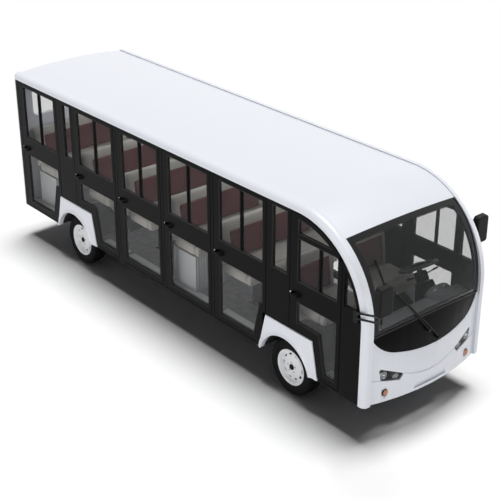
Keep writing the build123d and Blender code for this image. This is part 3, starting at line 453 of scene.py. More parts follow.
class Palette:
    """The car's finishes, each made once."""

    def __init__(self) -> None:
        """Makes every finish."""
        self.white = GlossPaint("white_paint", (0.745, 0.765, 0.82), 0.38, 0.3).material()
        self.black = GlossPaint(
            "black_frame_paint", (0.0026, 0.0026, 0.0028), 0.3, 0.0, specular=0.05
        ).material()
        self.wheel_white = GlossPaint("wheel_paint", (0.80, 0.81, 0.83), 0.38, 0.3, 0.9).material()
        self.grey_box = GlossPaint("grey_box_paint", (0.50, 0.51, 0.52), 0.45, 0.1).material()
        self.side_glass = TintedGlass(
            "side_glass", (0.09, 0.095, 0.10), 0.13, 0.02, (0.24, 0.245, 0.25), specular=0.2
        ).material()
        self.screen = BorderedScreen("screen_glass", (0.05, 0.055, 0.055), 0.22).material()
        self.seal = MouldedPlastic("seal_rubber", (0.012, 0.012, 0.012), 0.6, Grain.FINE, 0.15).material()
        self.tyre = MouldedPlastic(
            "tyre_rubber", (0.004, 0.004, 0.0042), 0.7, Grain.COARSE, 0.3, specular=0.09
        ).material()
        self.dark = MouldedPlastic(
            "dark_moulding", (0.005, 0.005, 0.0053), 0.36, Grain.FINE, 0.12, specular=0.12
        ).material()
        self.liner = MouldedPlastic("arch_liner", (0.02, 0.02, 0.02), 0.8, Grain.COARSE, 0.5).material()
        self.dash = MouldedPlastic("dash_moulding", (0.10, 0.10, 0.105), 0.6, Grain.LEATHER, 0.35).material()
        self.gauge = MouldedPlastic("gauge_face", (0.012, 0.012, 0.013), 0.12, Grain.FINE, 0.02).material()
        self.grip = SewnLeather("wheel_grip_leather", (0.02, 0.019, 0.018), 0.5).material()
        self.rail = MouldedPlastic("grab_rail_coating", (0.42, 0.43, 0.44), 0.38, Grain.FINE, 0.08).material()
        self.alloy = BareMetal("tread_alloy", (0.62, 0.63, 0.64), 0.38).material()
        self.floor_mat = MouldedPlastic(
            "floor_covering", (0.23, 0.23, 0.24), 0.7, Grain.COARSE, 0.5
        ).material()
        self.beige = SewnLeather("beige_leather", (0.47, 0.45, 0.405)).material()
        self.maroon = SewnLeather("maroon_leather", (0.125, 0.018, 0.022), 0.42).material()
        self.steel = MouldedPlastic(
            "frame_coating", (0.025, 0.025, 0.026), 0.55, Grain.COARSE, 0.3
        ).material()
        self.iron = BareMetal("axle_iron", (0.07, 0.07, 0.07), 0.55, 0.6).material()
        self.chrome = BareMetal("reflector_plate", (0.86, 0.87, 0.88), 0.08).material()
        self.bowl = BareMetal("lamp_bowl_plate", (0.34, 0.35, 0.37), 0.14).material()
        self.zinc = BareMetal("zinc_bolt", (0.55, 0.56, 0.57), 0.3).material()
        self.clear = TintedGlass("lamp_cover", (0.12, 0.13, 0.14), 0.14, 0.01).material()
        self.amber = RibbedLens("amber_lens", (0.46, 0.125, 0.025)).material()
        self.red = RibbedLens("red_lens", (0.30, 0.004, 0.006)).material()
        self.pearl = RibbedLens("pearl_lens", (0.50, 0.515, 0.53)).material()


@dataclass
class Workshop:
    """Makes meshes from points and hangs each on its body."""

    palette: Palette

    def mesh(
        self,
        name: str,
        points: Sequence[Point3],
        faces: Sequence[Sequence[int]],
        material: Material,
        body: str = "body",
        sharp: float = SHARP_DEGREES,
    ) -> Piece:
        """Makes one mesh piece.

        Args:
            name: the piece's name.
            points: vertices in the car's frame.
            faces: vertex numbers of each face.
            material: its finish.
            body: the body that it rides on.
            sharp: edges over this angle stay sharp, in degrees.

        Returns:
            The new object, riding on its body.
        """
        data = bpy.data.meshes.new(name)
        data.from_pydata([tuple(p) for p in points], [], [tuple(f) for f in faces])
        made = bmesh.new()
        made.from_mesh(data)
        bmesh.ops.remove_doubles(made, verts=made.verts, dist=1e-6)
        bmesh.ops.recalc_face_normals(made, faces=made.faces)
        made.to_mesh(data)
        made.free()
        return self.hang(data, name, material, body, sharp)

    def hang(
        self, data: Mesh, name: str, material: Material, body: str, sharp: float = SHARP_DEGREES
    ) -> Piece:
        """Turns mesh data into a piece on a body.

        Args:
            data: the finished mesh.
            name: the piece's name.
            material: its finish.
            body: the body that it rides on.
            sharp: edges over this angle stay sharp, in degrees.

        Returns:
            The new object.
        """
        data.materials.clear()
        data.materials.append(material)
        data.polygons.foreach_set("use_smooth", [True] * len(data.polygons))
        data.set_sharp_from_angle(angle=math.radians(sharp))
        piece = bpy.data.objects.new(name, data)
        bpy.context.scene.collection.objects.link(piece)
        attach(piece, body)
        LOG.info("piece %s on %s: %d faces", name, body, len(data.polygons))
        return piece

    def tube(
        self,
        name: str,
        points: Sequence[Point3],
        radius: float,
        material: Material,
        body: str = "body",
        closed: bool = False,
        sides: int = 8,
    ) -> Piece:
        """Makes a round bar or seal along a line of points.

        Args:
            name: the piece's name.
            points: the line.
            radius: of the bar.
            material: its finish.
            body: the body that it rides on.
            closed: True for a loop.
            sides: facets round the bar.

        Returns:
            The new object.
        """
        ring: list[Point3] = []
        faces: Faces = []
        line = [Vector(p) for p in points]
        count = len(line)
        normal = None
        for i, here in enumerate(line):
            before = line[i - 1] if i or closed else here
            after = line[(i + 1) % count] if i + 1 < count or closed else here
            way = (after - before).normalized()
            if normal is None:
                normal = way.orthogonal().normalized()
            normal = (normal - way * normal.dot(way)).normalized()
            other = way.cross(normal)
            for k in range(sides):
                turn = 2 * math.pi * k / sides
                ring.append(tuple(here + radius * (math.cos(turn) * normal + math.sin(turn) * other)))
        for i in range(count if closed else count - 1):
            a, b = i * sides, ((i + 1) % count) * sides
            for k in range(sides):
                faces.append((a + k, a + (k + 1) % sides, b + (k + 1) % sides, b + k))
        if not closed:
            faces.append(tuple(range(sides)))
            faces.append(tuple(range((count - 1) * sides, count * sides)))
        return self.mesh(name, ring, faces, material, body)

    def lathe(
        self,
        name: str,
        profile: Sequence[Point2],
        origin: Point3,
        axis: Point3,
        material: Material,
        body: str = "body",
        steps: int = 32,
        sharp: float = SHARP_DEGREES,
    ) -> Piece:
        """Turns a profile about an axis.

        Args:
            name: the piece's name.
            profile: (radius, distance along the axis) pairs.
            origin: a point on the axis.
            axis: its direction.
            material: its finish.
            body: the body that it rides on.
            steps: facets round the axis.
            sharp: edges over this angle stay sharp, in degrees.

        Returns:
            The new object.
        """
        along = Vector(axis).normalized()
        first = along.orthogonal().normalized()
        second = along.cross(first)
        points: list[Point3] = []
        faces: Faces = []
        rows = len(profile)
        for k in range(steps):
            turn = 2 * math.pi * k / steps
            out = math.cos(turn) * first + math.sin(turn) * second
            points += [tuple(Vector(origin) + out * max(r, 1e-5) + along * h) for r, h in profile]
        for k in range(steps):
            a, b = k * rows, ((k + 1) % steps) * rows
            faces += [(a + i, b + i, b + i + 1, a + i + 1) for i in range(rows - 1)]
        return self.mesh(name, points, faces, material, body, sharp)

    def frame(
        self,
        name: str,
        outlines: Sequence[Sequence[Point2]],
        width: float,
        y_span: Point2,
        side: Side,
        material: Material,
        body: str = "body",
    ) -> Piece:
        """Makes flat seals round window outlines in the side wall.

        Args:
            name: the piece's name.
            outlines: closed outlines as (x, z) points.
            width: of the seal, measured inwards from the outline.
            y_span: its inner and outer |y|.
            side: which side of the car.
            material: its finish.
            body: the body that it rides on.

        Returns:
            The new object.
        """
        points: list[Point3] = []
        faces: Faces = []
        for outline in outlines:
            inner = inset(outline, width)
            count = len(outline)
            base = len(points)
            low_y, high_y = y_span
            for loop, y in ((outline, low_y), (outline, high_y), (inner, high_y), (inner, low_y)):
                points += [(x, side.value * y, z) for x, z in loop]
            for i in range(count):
                j = (i + 1) % count
                for level in range(4):
                    low, high = base + level * count, base + ((level + 1) % 4) * count
                    faces.append((low + i, low + j, high + j, high + i))
        return self.mesh(name, points, faces, material, body)

    def pad_data(
        self,
        low: Point3,
        high: Point3,
        radius: float,
        shape: Callable[[Vector, Vector], Vector],
        cuts: int,
    ) -> Mesh:
        """Makes the mesh of a rounded box, ready to be stuffed.

        Args:
            low: lowest corner.
            high: highest corner.
            radius: of its edges.
            shape: moves a point, given it from the box's middle and its place from -1 to 1 each way.
            cuts: divisions of each edge.

        Returns:
            The mesh.
        """
        made = bmesh.new()
        bmesh.ops.create_cube(made, size=2.0)
        bmesh.ops.subdivide_edges(made, edges=made.edges, cuts=cuts, use_grid_fill=True)
        middle = (Vector(low) + Vector(high)) / 2
        half = (Vector(high) - Vector(low)) / 2
        core = Vector([max(h - radius, 1e-4) for h in half])
        for vert in made.verts:
            unit = vert.co.copy()
            spread = Vector([math.copysign(abs(u) ** 0.8, u) for u in unit])
            box = Vector([spread[i] * half[i] for i in range(3)])
            held = Vector([max(-core[i], min(core[i], box[i])) for i in range(3)])
            off = box - held
            if off.length > 1e-9:
                box = held + off.normalized() * min(off.length, radius)
            vert.co = middle + shape(box, unit)
        data = bpy.data.meshes.new("cut_form")
        made.to_mesh(data)
        made.free()
        return data

    def plank(
        self,
        name: str,
        low: Point3,
        high: Point3,
        radius: float,
        material: Material,
        body: str = "body",
        shape: Callable[[Vector, Vector], Vector] = lambda box, unit: box,
        cuts: int = 7,
    ) -> Piece:
        """Makes a small moulded piece with round edges.

        Args:
            name: the piece's name.
            low: its lowest corner.
            high: its highest corner.
            radius: of its edges.
            material: its finish.
            body: the body that it rides on.
            shape: moves a point, as in pad_data.
            cuts: divisions of each edge.

        Returns:
            The new object.
        """
        data = self.pad_data(low, high, radius, shape, cuts)
        return self.hang(data, name, material, body, 50.0)


def inset(outline: Sequence[Point2], width: float) -> list[Point2]:
    """Moves a closed outline inwards by a width.

    Args:
        outline: (x, z) points of a simple polygon.
        width: how far.

    Returns:
        As many points, each on its corner's mitre.
    """
    count = len(outline)
    area = sum(
        outline[i][0] * outline[(i + 1) % count][1] - outline[(i + 1) % count][0] * outline[i][1]
        for i in range(count)
    )
    turn = 1.0 if area > 0 else -1.0
    result = []
    for i in range(count):
        before, here, after = (Vector(outline[(i + k) % count]) for k in (-1, 0, 1))
        one = (here - before).normalized()
        two = (after - here).normalized()
        left_one = Vector((-one.y, one.x)) * turn
        left_two = Vector((-two.y, two.x)) * turn
        mitre = left_one + left_two
        mitre = mitre / max(0.2, mitre.dot(left_one))
        moved = here + mitre * width
        result.append((moved.x, moved.y))
    return result


def rounded(outline: Sequence[Point2], radius: float, steps: int = 4) -> list[Point2]:
    """Rounds the corners of a closed outline.

    Args:
        outline: (x, z) points.
        radius: of each corner.
        steps: points along each round.

    Returns:
        The rounded outline.
    """
    result: list[Point2] = []
    count = len(outline)
    for i in range(count):
        before, here, after = (Vector(outline[(i + k) % count]) for k in (-1, 0, 1))
        one = (before - here).normalized()
        two = (after - here).normalized()
        half = one.angle(two) / 2
        if half > math.radians(88):
            result.append(tuple(here))
            continue
        reach = radius / math.tan(half)
        start, end = here + one * reach, here + two * reach
        for k in range(steps + 1):
            t = k / steps
            point = start.lerp(here, t).lerp(here.lerp(end, t), t)
            result.append((point.x, point.y))
    return result


def oblong(across: Point2, up: Point2) -> list[Point2]:
    """Returns the four corners of a rectangle in order, from two spans."""
    return [(across[0], up[0]), (across[1], up[0]), (across[1], up[1]), (across[0], up[1])]


def skirt(count: int) -> Faces:
    """Returns the faces between two loops of as many points, numbered one after the other."""
    return [(i, (i + 1) % count, count + (i + 1) % count, count + i) for i in range(count)]


def casting_tree(data: Mesh, place: Matrix | None = None) -> BVHTree:
    """Returns a mesh's surface, ready for casting rays.

    Args:
        data: the mesh.
        place: its object's matrix, where it has one.

    Returns:
        The tree of its faces.
    """
    made = bmesh.new()
    made.from_mesh(data)
    if place is not None:
        made.transform(place)
    tree = BVHTree.FromBMesh(made)
    made.free()
    return tree


def cast(tree: BVHTree, start: float, y: float, z: float) -> tuple:
    """Casts a ray along X towards the middle of the car.

    Args:
        tree: the surface.
        start: X where it starts, ahead of the car's middle or behind it.
        y: its place across.
        z: its height.

    Returns:
        The hit's place and normal, its face and its distance, or four times None.
    """
    return tree.ray_cast(Vector((start, y, z)), Vector((-math.copysign(1.0, start), 0, 0)))


@dataclass
class BodyShell:
    """Painted shell, structure and cabin lining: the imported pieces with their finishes."""

    shop: Workshop
    nodes: dict[str, Piece]
    bevels: dict[str, float] = field(
        default_factory=lambda: {"wheel_arch_trims": 0.006, "dashboard": 0.012, "steering_column": 0.014}
    )
    bevel_from: float = 40.0
    smooth: tuple[str, ...] = ("front_fascia", "nose_black_panel", "rear_panel")
    weld: float = 1e-5

    def finish_of(self, name: str) -> Material:
        """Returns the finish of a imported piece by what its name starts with, black if nothing fits."""
        p = self.shop.palette
        starts = (
            (p.white, ("roof_hoops", "roof_panel", "wheel_arch_trims", "rear_panel", "front_fascia")),
            (p.side_glass, ("rear_window", "fixed_side_glass", "door_glass")),
            (p.dark, ("headlamps", "mirrors", "wiper", "steering_", "seat_pedestals")),
            (p.steel, ("chassis_frame", "tow_eyes", "leaf_springs", "tie_rod")),
            (p.iron, ("front_axle", "rear_axle", "knuckle_left", "knuckle_right")),
            (p.beige, ("seat_cushions", "seat_backs")),
            (p.screen, "windscreen"), (p.amber, "turn_lamps"), (p.red, "tail_lamps"), (p.dash, "dashboard"),
            (p.grey_box, "battery_boxes"), (p.floor_mat, "floor_panels"), (p.liner, "wheel_housings"),
            (p.wheel_white, "rim_"), (p.tyre, "tyre_"),
        )
        return next((finish for finish, start in starts if name.startswith(start)), p.black)

    def dress(self) -> None:
        """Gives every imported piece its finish, and some of them soft edges or even shading."""
        for name, node in self.nodes.items():
            finish = self.finish_of(name)
            if node.material_slots:
                for place in node.material_slots:
                    place.material = finish
            else:
                node.data.materials.append(finish)
            weld = node.modifiers.new("weld", "WELD")
            weld.merge_threshold = self.weld
            if name in self.smooth:
                even = node.modifiers.new("even_shading", "WEIGHTED_NORMAL")
                even.keep_sharp = True
                even.weight = 80
            if name in self.bevels:
                bevel = node.modifiers.new("soft_edge", "BEVEL")
                bevel.width = self.bevels[name]
                bevel.segments = 3
                bevel.limit_method = "ANGLE"
                bevel.angle_limit = math.radians(self.bevel_from)
            LOG.info("dressed %s with %s", name, finish.name)


@dataclass
class SideGlazing:
    """Window seals and door locks of the two long sides."""

    shop: Workshop
    bays: tuple[tuple[str, float, float], ...] = (
        ("1", -2.956, -2.140), ("2", -1.820, -1.004), ("3", -0.968, -0.188),
        ("4", -0.152, 0.628), ("5", 0.664, 1.444), ("6", 1.764, 2.434),
    )
    margins: Point2 = (0.095, 0.048)
    upper: Point2 = (1.285, 1.912)
    lower: Point2 = (0.470, 1.085)
    cab_margins: Point2 = (0.105, 0.052)
    cab_bar: Point2 = (1.715, 1.755)
    cab_radius: float = 0.765
    arch_top: float = 0.863
    arch_rear: Point2 = (-0.4548, -0.3565)
    arch_front: Point2 = (0.5223, 0.4395)
    quarters: Profile = ((-2.016, -1.852), (1.524, 1.731))
    quarter_z: Point2 = (1.300, 1.925)
    seal_width: float = 0.007
    seal_y: Point2 = (0.7505, 0.7665)
    lock_y: float = 0.763
    lock_z: float = 1.150
    barrel: Profile = ((0.0, 0.006), (0.008, 0.006), (0.011, 0.003), (0.011, 0.0))

    def low_pane(self, name: str, x0: float, x1: float) -> list[Point2]:
        """Returns the low window of a bay, cut back beside a wheel arch."""
        z0, z1 = self.lower
        axle = AXLES["rear" if name in ("1", "2") else "front"]
        if name in ("1", "5"):
            foot, head = (axle + along for along in self.arch_rear)
            return [(x0, z0), (foot, z0), (head, self.arch_top), (x1, self.arch_top), (x1, z1), (x0, z1)]
        if name in ("2", "6"):
            foot, head = (axle + along for along in self.arch_front)
            return [(foot, z0), (x1, z0), (x1, z1), (x0, z1), (x0, self.arch_top), (head, self.arch_top)]
        return oblong((x0, x1), self.lower)

    def cab_panes(self, x0: float, x1: float) -> list[list[Point2]]:
        """Returns the foremost bay's two upper windows, which end at the roof hoop's curve."""

        def ahead(z: float) -> float:
            """Returns X on the curve at a height."""
            return HOOP_X + math.sqrt(self.cab_radius**2 - (z - HOOP_Z) ** 2)

        def above(x: float) -> float:
            """Returns Z on the curve at a place along the car."""
            return HOOP_Z + math.sqrt(self.cab_radius**2 - (x - HOOP_X) ** 2)

        sill, (low, high), steps = self.upper[0], self.cab_bar, 12
        spots = [x1 + (x0 - x1) * k / steps for k in range(steps + 1)]
        crest = [(x, above(x)) for x in spots if above(x) > high]
        pane = [(x0, sill), (x1, sill), (x1, above(x1)), (ahead(low), low), (x0, low)]
        return [pane, [(x0, high), (ahead(high), high)] + crest]

    def panes(self, name: str, rear: float, front: float) -> list[list[Point2]]:
        """Returns the window outlines of a bay.

        Args:
            name: the bay's number.
            rear: its rear line.
            front: its front line.

        Returns:
            Closed outlines as (x, z) points.
        """
        if name == "6":
            x0, x1 = rear + self.cab_margins[0], front - self.cab_margins[1]
            return self.cab_panes(x0, x1) + [self.low_pane(name, x0, x1)]
        x0, x1 = rear + self.margins[0], front - self.margins[1]
        return [oblong((x0, x1), self.upper), self.low_pane(name, x0, x1)]

    def dress(self) -> None:
        """Builds seals and locks on both sides."""
        p = self.shop.palette
        for side in Side:
            for name, rear, front in self.bays:
                moves = side is Side.RIGHT or name == "6"
                tag = f"{side.tag}_{name}"
                body = f"door_{tag}" if moves else "body"
                outlines = [rounded(o, 0.012, 3) if len(o) < 8 else o for o in self.panes(name, rear, front)]
                seal = f"window_seal_{tag}"
                self.shop.frame(seal, outlines, self.seal_width, self.seal_y, side, p.seal, body)
                if moves:
                    at = (rear + 0.020, side.value * self.lock_y, self.lock_z)
                    self.shop.lathe(f"door_lock_{tag}", self.barrel, at, (0, side.value, 0), p.zinc, body, 20)
            windows = [rounded(oblong(span, self.quarter_z), 0.003, 2) for span in self.quarters]
            self.shop.frame(f"quarter_seal_{side.tag}", windows, self.seal_width, self.seal_y, side, p.seal)


@dataclass
class Wheels:
    """Tyres with tread, and the rims' bolts, caps, valves and a dark disc of painted shade behind their slots.
    """

    shop: Workshop
    plane: float = 0.615
    radius: float = 0.2875
    crown_half: float = 0.06
    crown_drop: float = 0.0045
    groove: float = 0.007
    crown: Profile = (
        (0.0, 0.0), (0.012, 0.0), (0.0135, 1.0), (0.0195, 1.0), (0.021, 0.0), (0.036, 0.0), (0.0375, 1.0),
        (0.0435, 1.0), (0.045, 0.0), (0.060, 0.0),
    )
    wall: Profile = (
        (0.276, 0.071), (0.266, 0.0795), (0.252, 0.0845), (0.236, 0.0872), (0.2345, 0.0862),
        (0.229, 0.0862), (0.2275, 0.0872), (0.214, 0.0855), (0.201, 0.0805), (0.190, 0.0735),
        (0.1835, 0.0705), (0.176, 0.0665), (0.166, 0.0645),
    )
    blocks: int = 46
    shares: tuple[float, ...] = (0.0, 0.62, 0.66, 0.90, 0.94)
    cut_shares: tuple[int, ...] = (2, 3)
    cut_depth: float = 0.006
    cut_from: Point2 = (0.27, 0.0445)
    slant: float = 0.35
    bolt_circle: float = 0.052
    face: float = 0.0595
    bolt: Profile = ((0.0, 0.011), (0.006, 0.011), (0.0078, 0.009), (0.0078, 0.003), (0.0105, 0.0))
    cap: Profile = ((0.0, 0.016), (0.018, 0.015), (0.026, 0.010), (0.030, 0.002), (0.031, 0.0))
    # Profile of a dark disc just inside the rim's face: painted shade, so that the slots look shadowed.
    backing: Profile = (
        (0.070, 0.0), (0.070, 0.034), (0.104, 0.0245), (0.152, 0.0135), (0.154, 0.0),
    )
    valve: Profile = (
        (0.0, 0.032), (0.0035, 0.031), (0.0035, 0.018), (0.005, 0.016), (0.0055, 0.0),
    )

    def centre(self, axle: str, side: Side) -> Vector:
        """Returns the middle of one wheel."""
        return Vector((AXLES[axle], side.value * self.plane, self.radius))

    def section(self) -> list[Point2]:
        """Returns the tyre's section as (radius, distance across), from the inner bead to the outer one."""
        half = [
            (self.radius - self.crown_drop * (across / self.crown_half) ** 2 - self.groove * sunk, across)
            for across, sunk in self.crown
        ]
        half += self.wall
        return [(r, -a) for r, a in reversed(half)] + half[1:]

    def tyre(self, axle: str, side: Side) -> None:
        """Builds one tyre, with lateral cuts in its tread blocks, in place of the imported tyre."""
        section = self.section()
        rows = len(section)
        points: list[Point3] = []
        faces: Faces = []
        centre = self.centre(axle, side)
        for block in range(self.blocks):
            for part, share in enumerate(self.shares):
                for radius, across in section:
                    zone = abs(across)
                    cut = part in self.cut_shares and radius > self.cut_from[0] and zone > self.cut_from[1]
                    bend = across / self.crown_half if zone < 0.045 else math.copysign(0.75, across)
                    turn = 2 * math.pi * (block + share + self.slant * bend * 0.5) / self.blocks
                    out = radius - (self.cut_depth if cut else 0.0)
                    spot = Vector((out * math.cos(turn), side.value * across, out * math.sin(turn)))
                    points.append(tuple(centre + spot))
        steps = self.blocks * len(self.shares)
        for k in range(steps):
            a, b = k * rows, ((k + 1) % steps) * rows
            faces += [(a + i, a + i + 1, b + i + 1, b + i) for i in range(rows - 1)]
            faces.append((a + rows - 1, a, b, b + rows - 1))
        name = f"tyre_{axle}_{side.tag}"
        piece = self.shop.mesh(
            f"treaded_{name}", points, faces, self.shop.palette.tyre, f"wheel_{axle}_{side.tag}", 28.0
        )
        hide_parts(name)

    def hardware(self, axle: str, side: Side) -> None:
        """Builds the bolts, the hub cap, the painted-shade disc behind the slots and the valve of one wheel.
        """
        p = self.shop.palette
        tag = f"{axle}_{side.tag}"
        centre = self.centre(axle, side)
        out = Vector((0, side.value, 0))
        parts = []
        for k in range(5):
            turn = math.radians(90 + 72 * k)
            spot = Vector((self.bolt_circle * math.cos(turn), 0, self.bolt_circle * math.sin(turn)))
            parts.append((f"wheel_bolt_{tag}_{k}", self.bolt, centre + spot + out * self.face, p.zinc, 6))
        parts += [
            (f"hub_cap_{tag}", self.cap, centre + out * self.face, p.dark, 28),
            # Painted shade: a dark disc close behind the slots stands in for the shadow inside the rim.
            (f"brake_backing_{tag}", self.backing, centre + out * 0.013, p.dark, 40),
            (f"tyre_valve_{tag}", self.valve, centre + Vector((0.146, 0, 0)) + out * 0.036, p.seal, 12),
        ]
        for name, profile, at, finish, steps in parts:
            self.shop.lathe(name, profile, tuple(at), tuple(out), finish, f"wheel_{tag}", steps)

    def dress(self) -> None:
        """Builds all four wheels."""
        for axle in AXLES:
            for side in Side:
                self.tyre(axle, side)
                self.hardware(axle, side)


@dataclass(frozen=True)
class Stuffing:
    """How a sewn cover is blown up over its foam."""

    voxel: float = 0.0085
    pressure: float = 4.0
    frames: int = 20
    cap: float = 0.014

    def swell(self, data: Mesh, held: Callable[[Vector], bool]) -> Mesh:
        """Remeshes a closed form and lets cloth under pressure round it out.

        Args:
            data: the cut form, a little smaller than the finished pad.
            held: tells which points rest on the seat's shell and stay put.

        Returns:
            The stuffed mesh.
        """
        scene = bpy.context.scene
        dummy = bpy.data.objects.new("stuffing_form", data)
        scene.collection.objects.link(dummy)
        remesh = dummy.modifiers.new("remesh", "REMESH")
        remesh.mode = "VOXEL"
        remesh.voxel_size = self.voxel
        start = bpy.data.meshes.new_from_object(dummy.evaluated_get(bpy.context.evaluated_depsgraph_get()))
        dummy.modifiers.clear()
        dummy.data = start
        group = dummy.vertex_groups.new(name="held")
        group.add([v.index for v in start.vertices if held(v.co)], 1.0, "REPLACE")
        cloth = dummy.modifiers.new("cloth", "CLOTH")
        cloth.settings.use_pressure = True
        cloth.settings.uniform_pressure_force = self.pressure
        cloth.settings.quality = 4
        cloth.settings.vertex_group_mass = group.name
        cloth.settings.effector_weights.gravity = 0.0
        cloth.collision_settings.use_collision = False
        cloth.point_cache.frame_start = 1
        cloth.point_cache.frame_end = self.frames
        for frame in range(1, self.frames + 1):
            scene.frame_set(frame)
        blown = bpy.data.meshes.new_from_object(dummy.evaluated_get(bpy.context.evaluated_depsgraph_get()))
        for vert, origin in zip(blown.vertices, start.vertices):
            move = vert.co - origin.co
            if move.length > self.cap:
                vert.co = origin.co + move.normalized() * self.cap
        scene.frame_set(1)
        bpy.data.objects.remove(dummy)
        LOG.info("stuffed a form of %d points", len(blown.vertices))
        return blown


@dataclass
class Benches:
    """Padded cushions and backs in place of their plain solids."""

    shop: Workshop
    rows: tuple[float, ...] = (1.083, 0.267, -0.549, -1.365, -2.410)
    front_row: float = 2.097
    half: float = 0.650
    front_span: Point2 = (0.060, 0.640)
    cushion_z: Point2 = (0.845, 0.980)
    depth: float = 0.4247
    back_z: Point2 = (0.880, 1.370)
    back_x: tuple[float, float, float, float] = (-0.425, -0.485, -0.560, -0.525)
    slab: float = 0.1
    seam: float = 0.090
    stuffing: Stuffing = Stuffing()

    def cushion_form(self, y0: float, y1: float) -> Mesh:
        """Cuts and stuffs a cushion with its front edge at X zero.

        Args:
            y0: its right end.
            y1: its left end.

        Returns:
            The stuffed mesh, with the seam behind the front roll sunk in.
        """
        low, high = self.cushion_z
        rear = -self.depth + 0.003

        def crown(box: Vector, unit: Vector) -> Vector:
            """Crowns the top a little and draws the sides in."""
            moved = box.copy()
            moved.z += 0.006 * (1 - unit.y**4) * (1 - unit.x**2) * max(0.0, unit.z)
            moved.y *= 1 - 0.006 * (1 - unit.x**2)
            return moved

        corners = (rear, y0 + 0.008, low), (-0.010, y1 - 0.008, high - 0.016)
        form = self.shop.pad_data(*corners, 0.042, crown, 22)
        blown = self.stuffing.swell(form, lambda p: p.z < low + 0.012 or p.x < rear + 0.012)
        for vert in blown.vertices:
            pull = math.exp(-(((vert.co.x + self.seam) / 0.012) ** 2))
            if vert.co.z > low + 0.02:
                vert.co.z -= 0.015 * pull * (vert.co.z - low) / (high - low)
            edge = (vert.co.y - (y0 + y1) / 2) / ((y1 - y0) / 2)
            if abs(edge) > 0.9:
                vert.co.y -= math.copysign(0.010 * pull, edge)
        return blown

    def back_form(self, y0: float, y1: float) -> Mesh:
        """Cuts and stuffs a leaning back whose cushion ends at X zero.

        Args:
            y0: its right end.
            y1: its left end.

        Returns:
            The stuffed mesh.
        """
        foot, top = self.back_z
        face_foot, face_top, rear_top, rear_foot = self.back_x

        def lean(box: Vector, unit: Vector) -> Vector:
            """Leans the slab and tapers it to its top."""
            moved = box.copy()
            rise = (box.z + (top - foot) / 2) / (top - foot)
            front = face_foot + rise * (face_top - face_foot) - 0.009
            rear = rear_foot + rise * (rear_top - rear_foot) + 0.003
            moved.x = rear + (box.x / self.slab + 0.5) * (front - rear)
            moved.y *= 1 - 0.004 * (1 - unit.z**2)
            return moved

        low, high = (-self.slab / 2, y0 + 0.006, foot), (self.slab / 2, y1 - 0.006, top - 0.008)
        form = self.shop.pad_data(low, high, 0.030, lean, 18)
        return self.stuffing.swell(form, lambda p: p.z < foot + 0.02)

    def panel_form(self, back: Mesh, y0: float, y1: float) -> Mesh:
        """Lays a sewn panel on a back's front face.

        Args:
            back: the stuffed back.
            y0: its right end.
            y1: its left end.

        Returns:
            A thin crowned panel that follows the back.
        """
        tree = casting_tree(back)
        wide = y1 - y0 > 1
        side, across, up = (0.125, 64, 22) if wide else (0.085, 30, 22)
        foot, top = self.back_z[0] + 0.085, self.back_z[1] - 0.110
        front: list[Point3] = []
        under: list[Point3] = []
        for j in range(up + 1):
            v = 2 * j / up - 1
            for i in range(across + 1):
                u = 2 * i / across - 1
                y = (y0 + y1) / 2 + u * ((y1 - y0) / 2 - side)
                z = (foot + top) / 2 + v * (top - foot) / 2
                hit = cast(tree, 1.0, y, z)[0]
                x = hit.x if hit else self.back_x[1]
                edge = min(1 - abs(u), (1 - abs(v)) * 0.4)
                lift = 0.0085 * min(1.0, edge / 0.03) ** 0.5 if edge > 0 else 0.0
                front.append((x - 0.001 + lift, y, z))
                under.append((x - 0.006, y, z))
        width = across + 1
        count = width * (up + 1)
        faces = [
            (j * width + i, j * width + i + 1, (j + 1) * width + i + 1, (j + 1) * width + i)
            for j in range(up) for i in range(across)
        ]
        faces += [tuple(count + k for k in reversed(face)) for face in faces]
        rim = list(range(across)) + [j * width + across for j in range(up)]
        rim += [up * width + across - i for i in range(across)] + [(up - j) * width for j in range(up)]
        for a, b in zip(rim, rim[1:] + rim[:1]):
            faces.append((b, a, count + a, count + b))
        data = bpy.data.meshes.new("panel_form")
        data.from_pydata(front + under, [], faces)
        return data

    def set_down(
        self, form: Mesh, name: str, nose: float, finish: Material
    ) -> Piece:
        """Copies a form to a row and hangs it on the car.

        Args:
            form: the stuffed mesh, with its row at X zero.
            name: the piece's name.
            nose: the row's front edge.
            finish: its leather.

        Returns:
            The new piece.
        """
        data = form.copy()
        data.transform(Matrix.Translation((nose, 0, 0)))
        piece = self.shop.hang(data, name, finish, "body", 80.0)
        return piece

    def piping(self, tag: str, nose: float, y0: float, y1: float) -> None:
        """Builds the welt that closes a cushion's seam."""
        x = nose - self.seam
        top = self.cushion_z[1] - 0.0125
        ends = ((0.016, self.cushion_z[0] + 0.03), (0.014, top - 0.035), (0.030, top - 0.010))
        line = [(x, y0 + along, z) for along, z in ends]
        line += [(x, y0 + 0.055 + (y1 - y0 - 0.11) * k / 8, top) for k in range(9)]
        line += [(x, y1 - along, z) for along, z in reversed(ends)]
        self.shop.tube(f"cushion_welt_{tag}", line, 0.0035, self.shop.palette.beige, sides=6)

    def dress(self) -> None:
        """Builds every seat from a bench's forms and a front seat's forms."""
        p = self.shop.palette
        inner, outer = self.front_span
        kinds = [((-self.half, self.half), [(f"row_{k + 2}", nose) for k, nose in enumerate(self.rows)])]
        kinds.append(((inner, outer), [("driver", self.front_row)]))
        kinds.append(((-outer, -inner), [("passenger", self.front_row)]))
        for (y0, y1), seats in kinds:
            cushion = self.cushion_form(y0, y1)
            back = self.back_form(y0, y1)
            panel = self.panel_form(back, y0, y1)
            for tag, nose in seats:
                seat = self.set_down(cushion, f"cushion_{tag}", nose, p.beige)
                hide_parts("seat_cushions")
                rest = self.set_down(back, f"backrest_{tag}", nose, p.beige)
                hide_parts("seat_backs")
                self.set_down(panel, f"back_panel_{tag}", nose, p.maroon)
                self.piping(tag, nose, y0, y1)


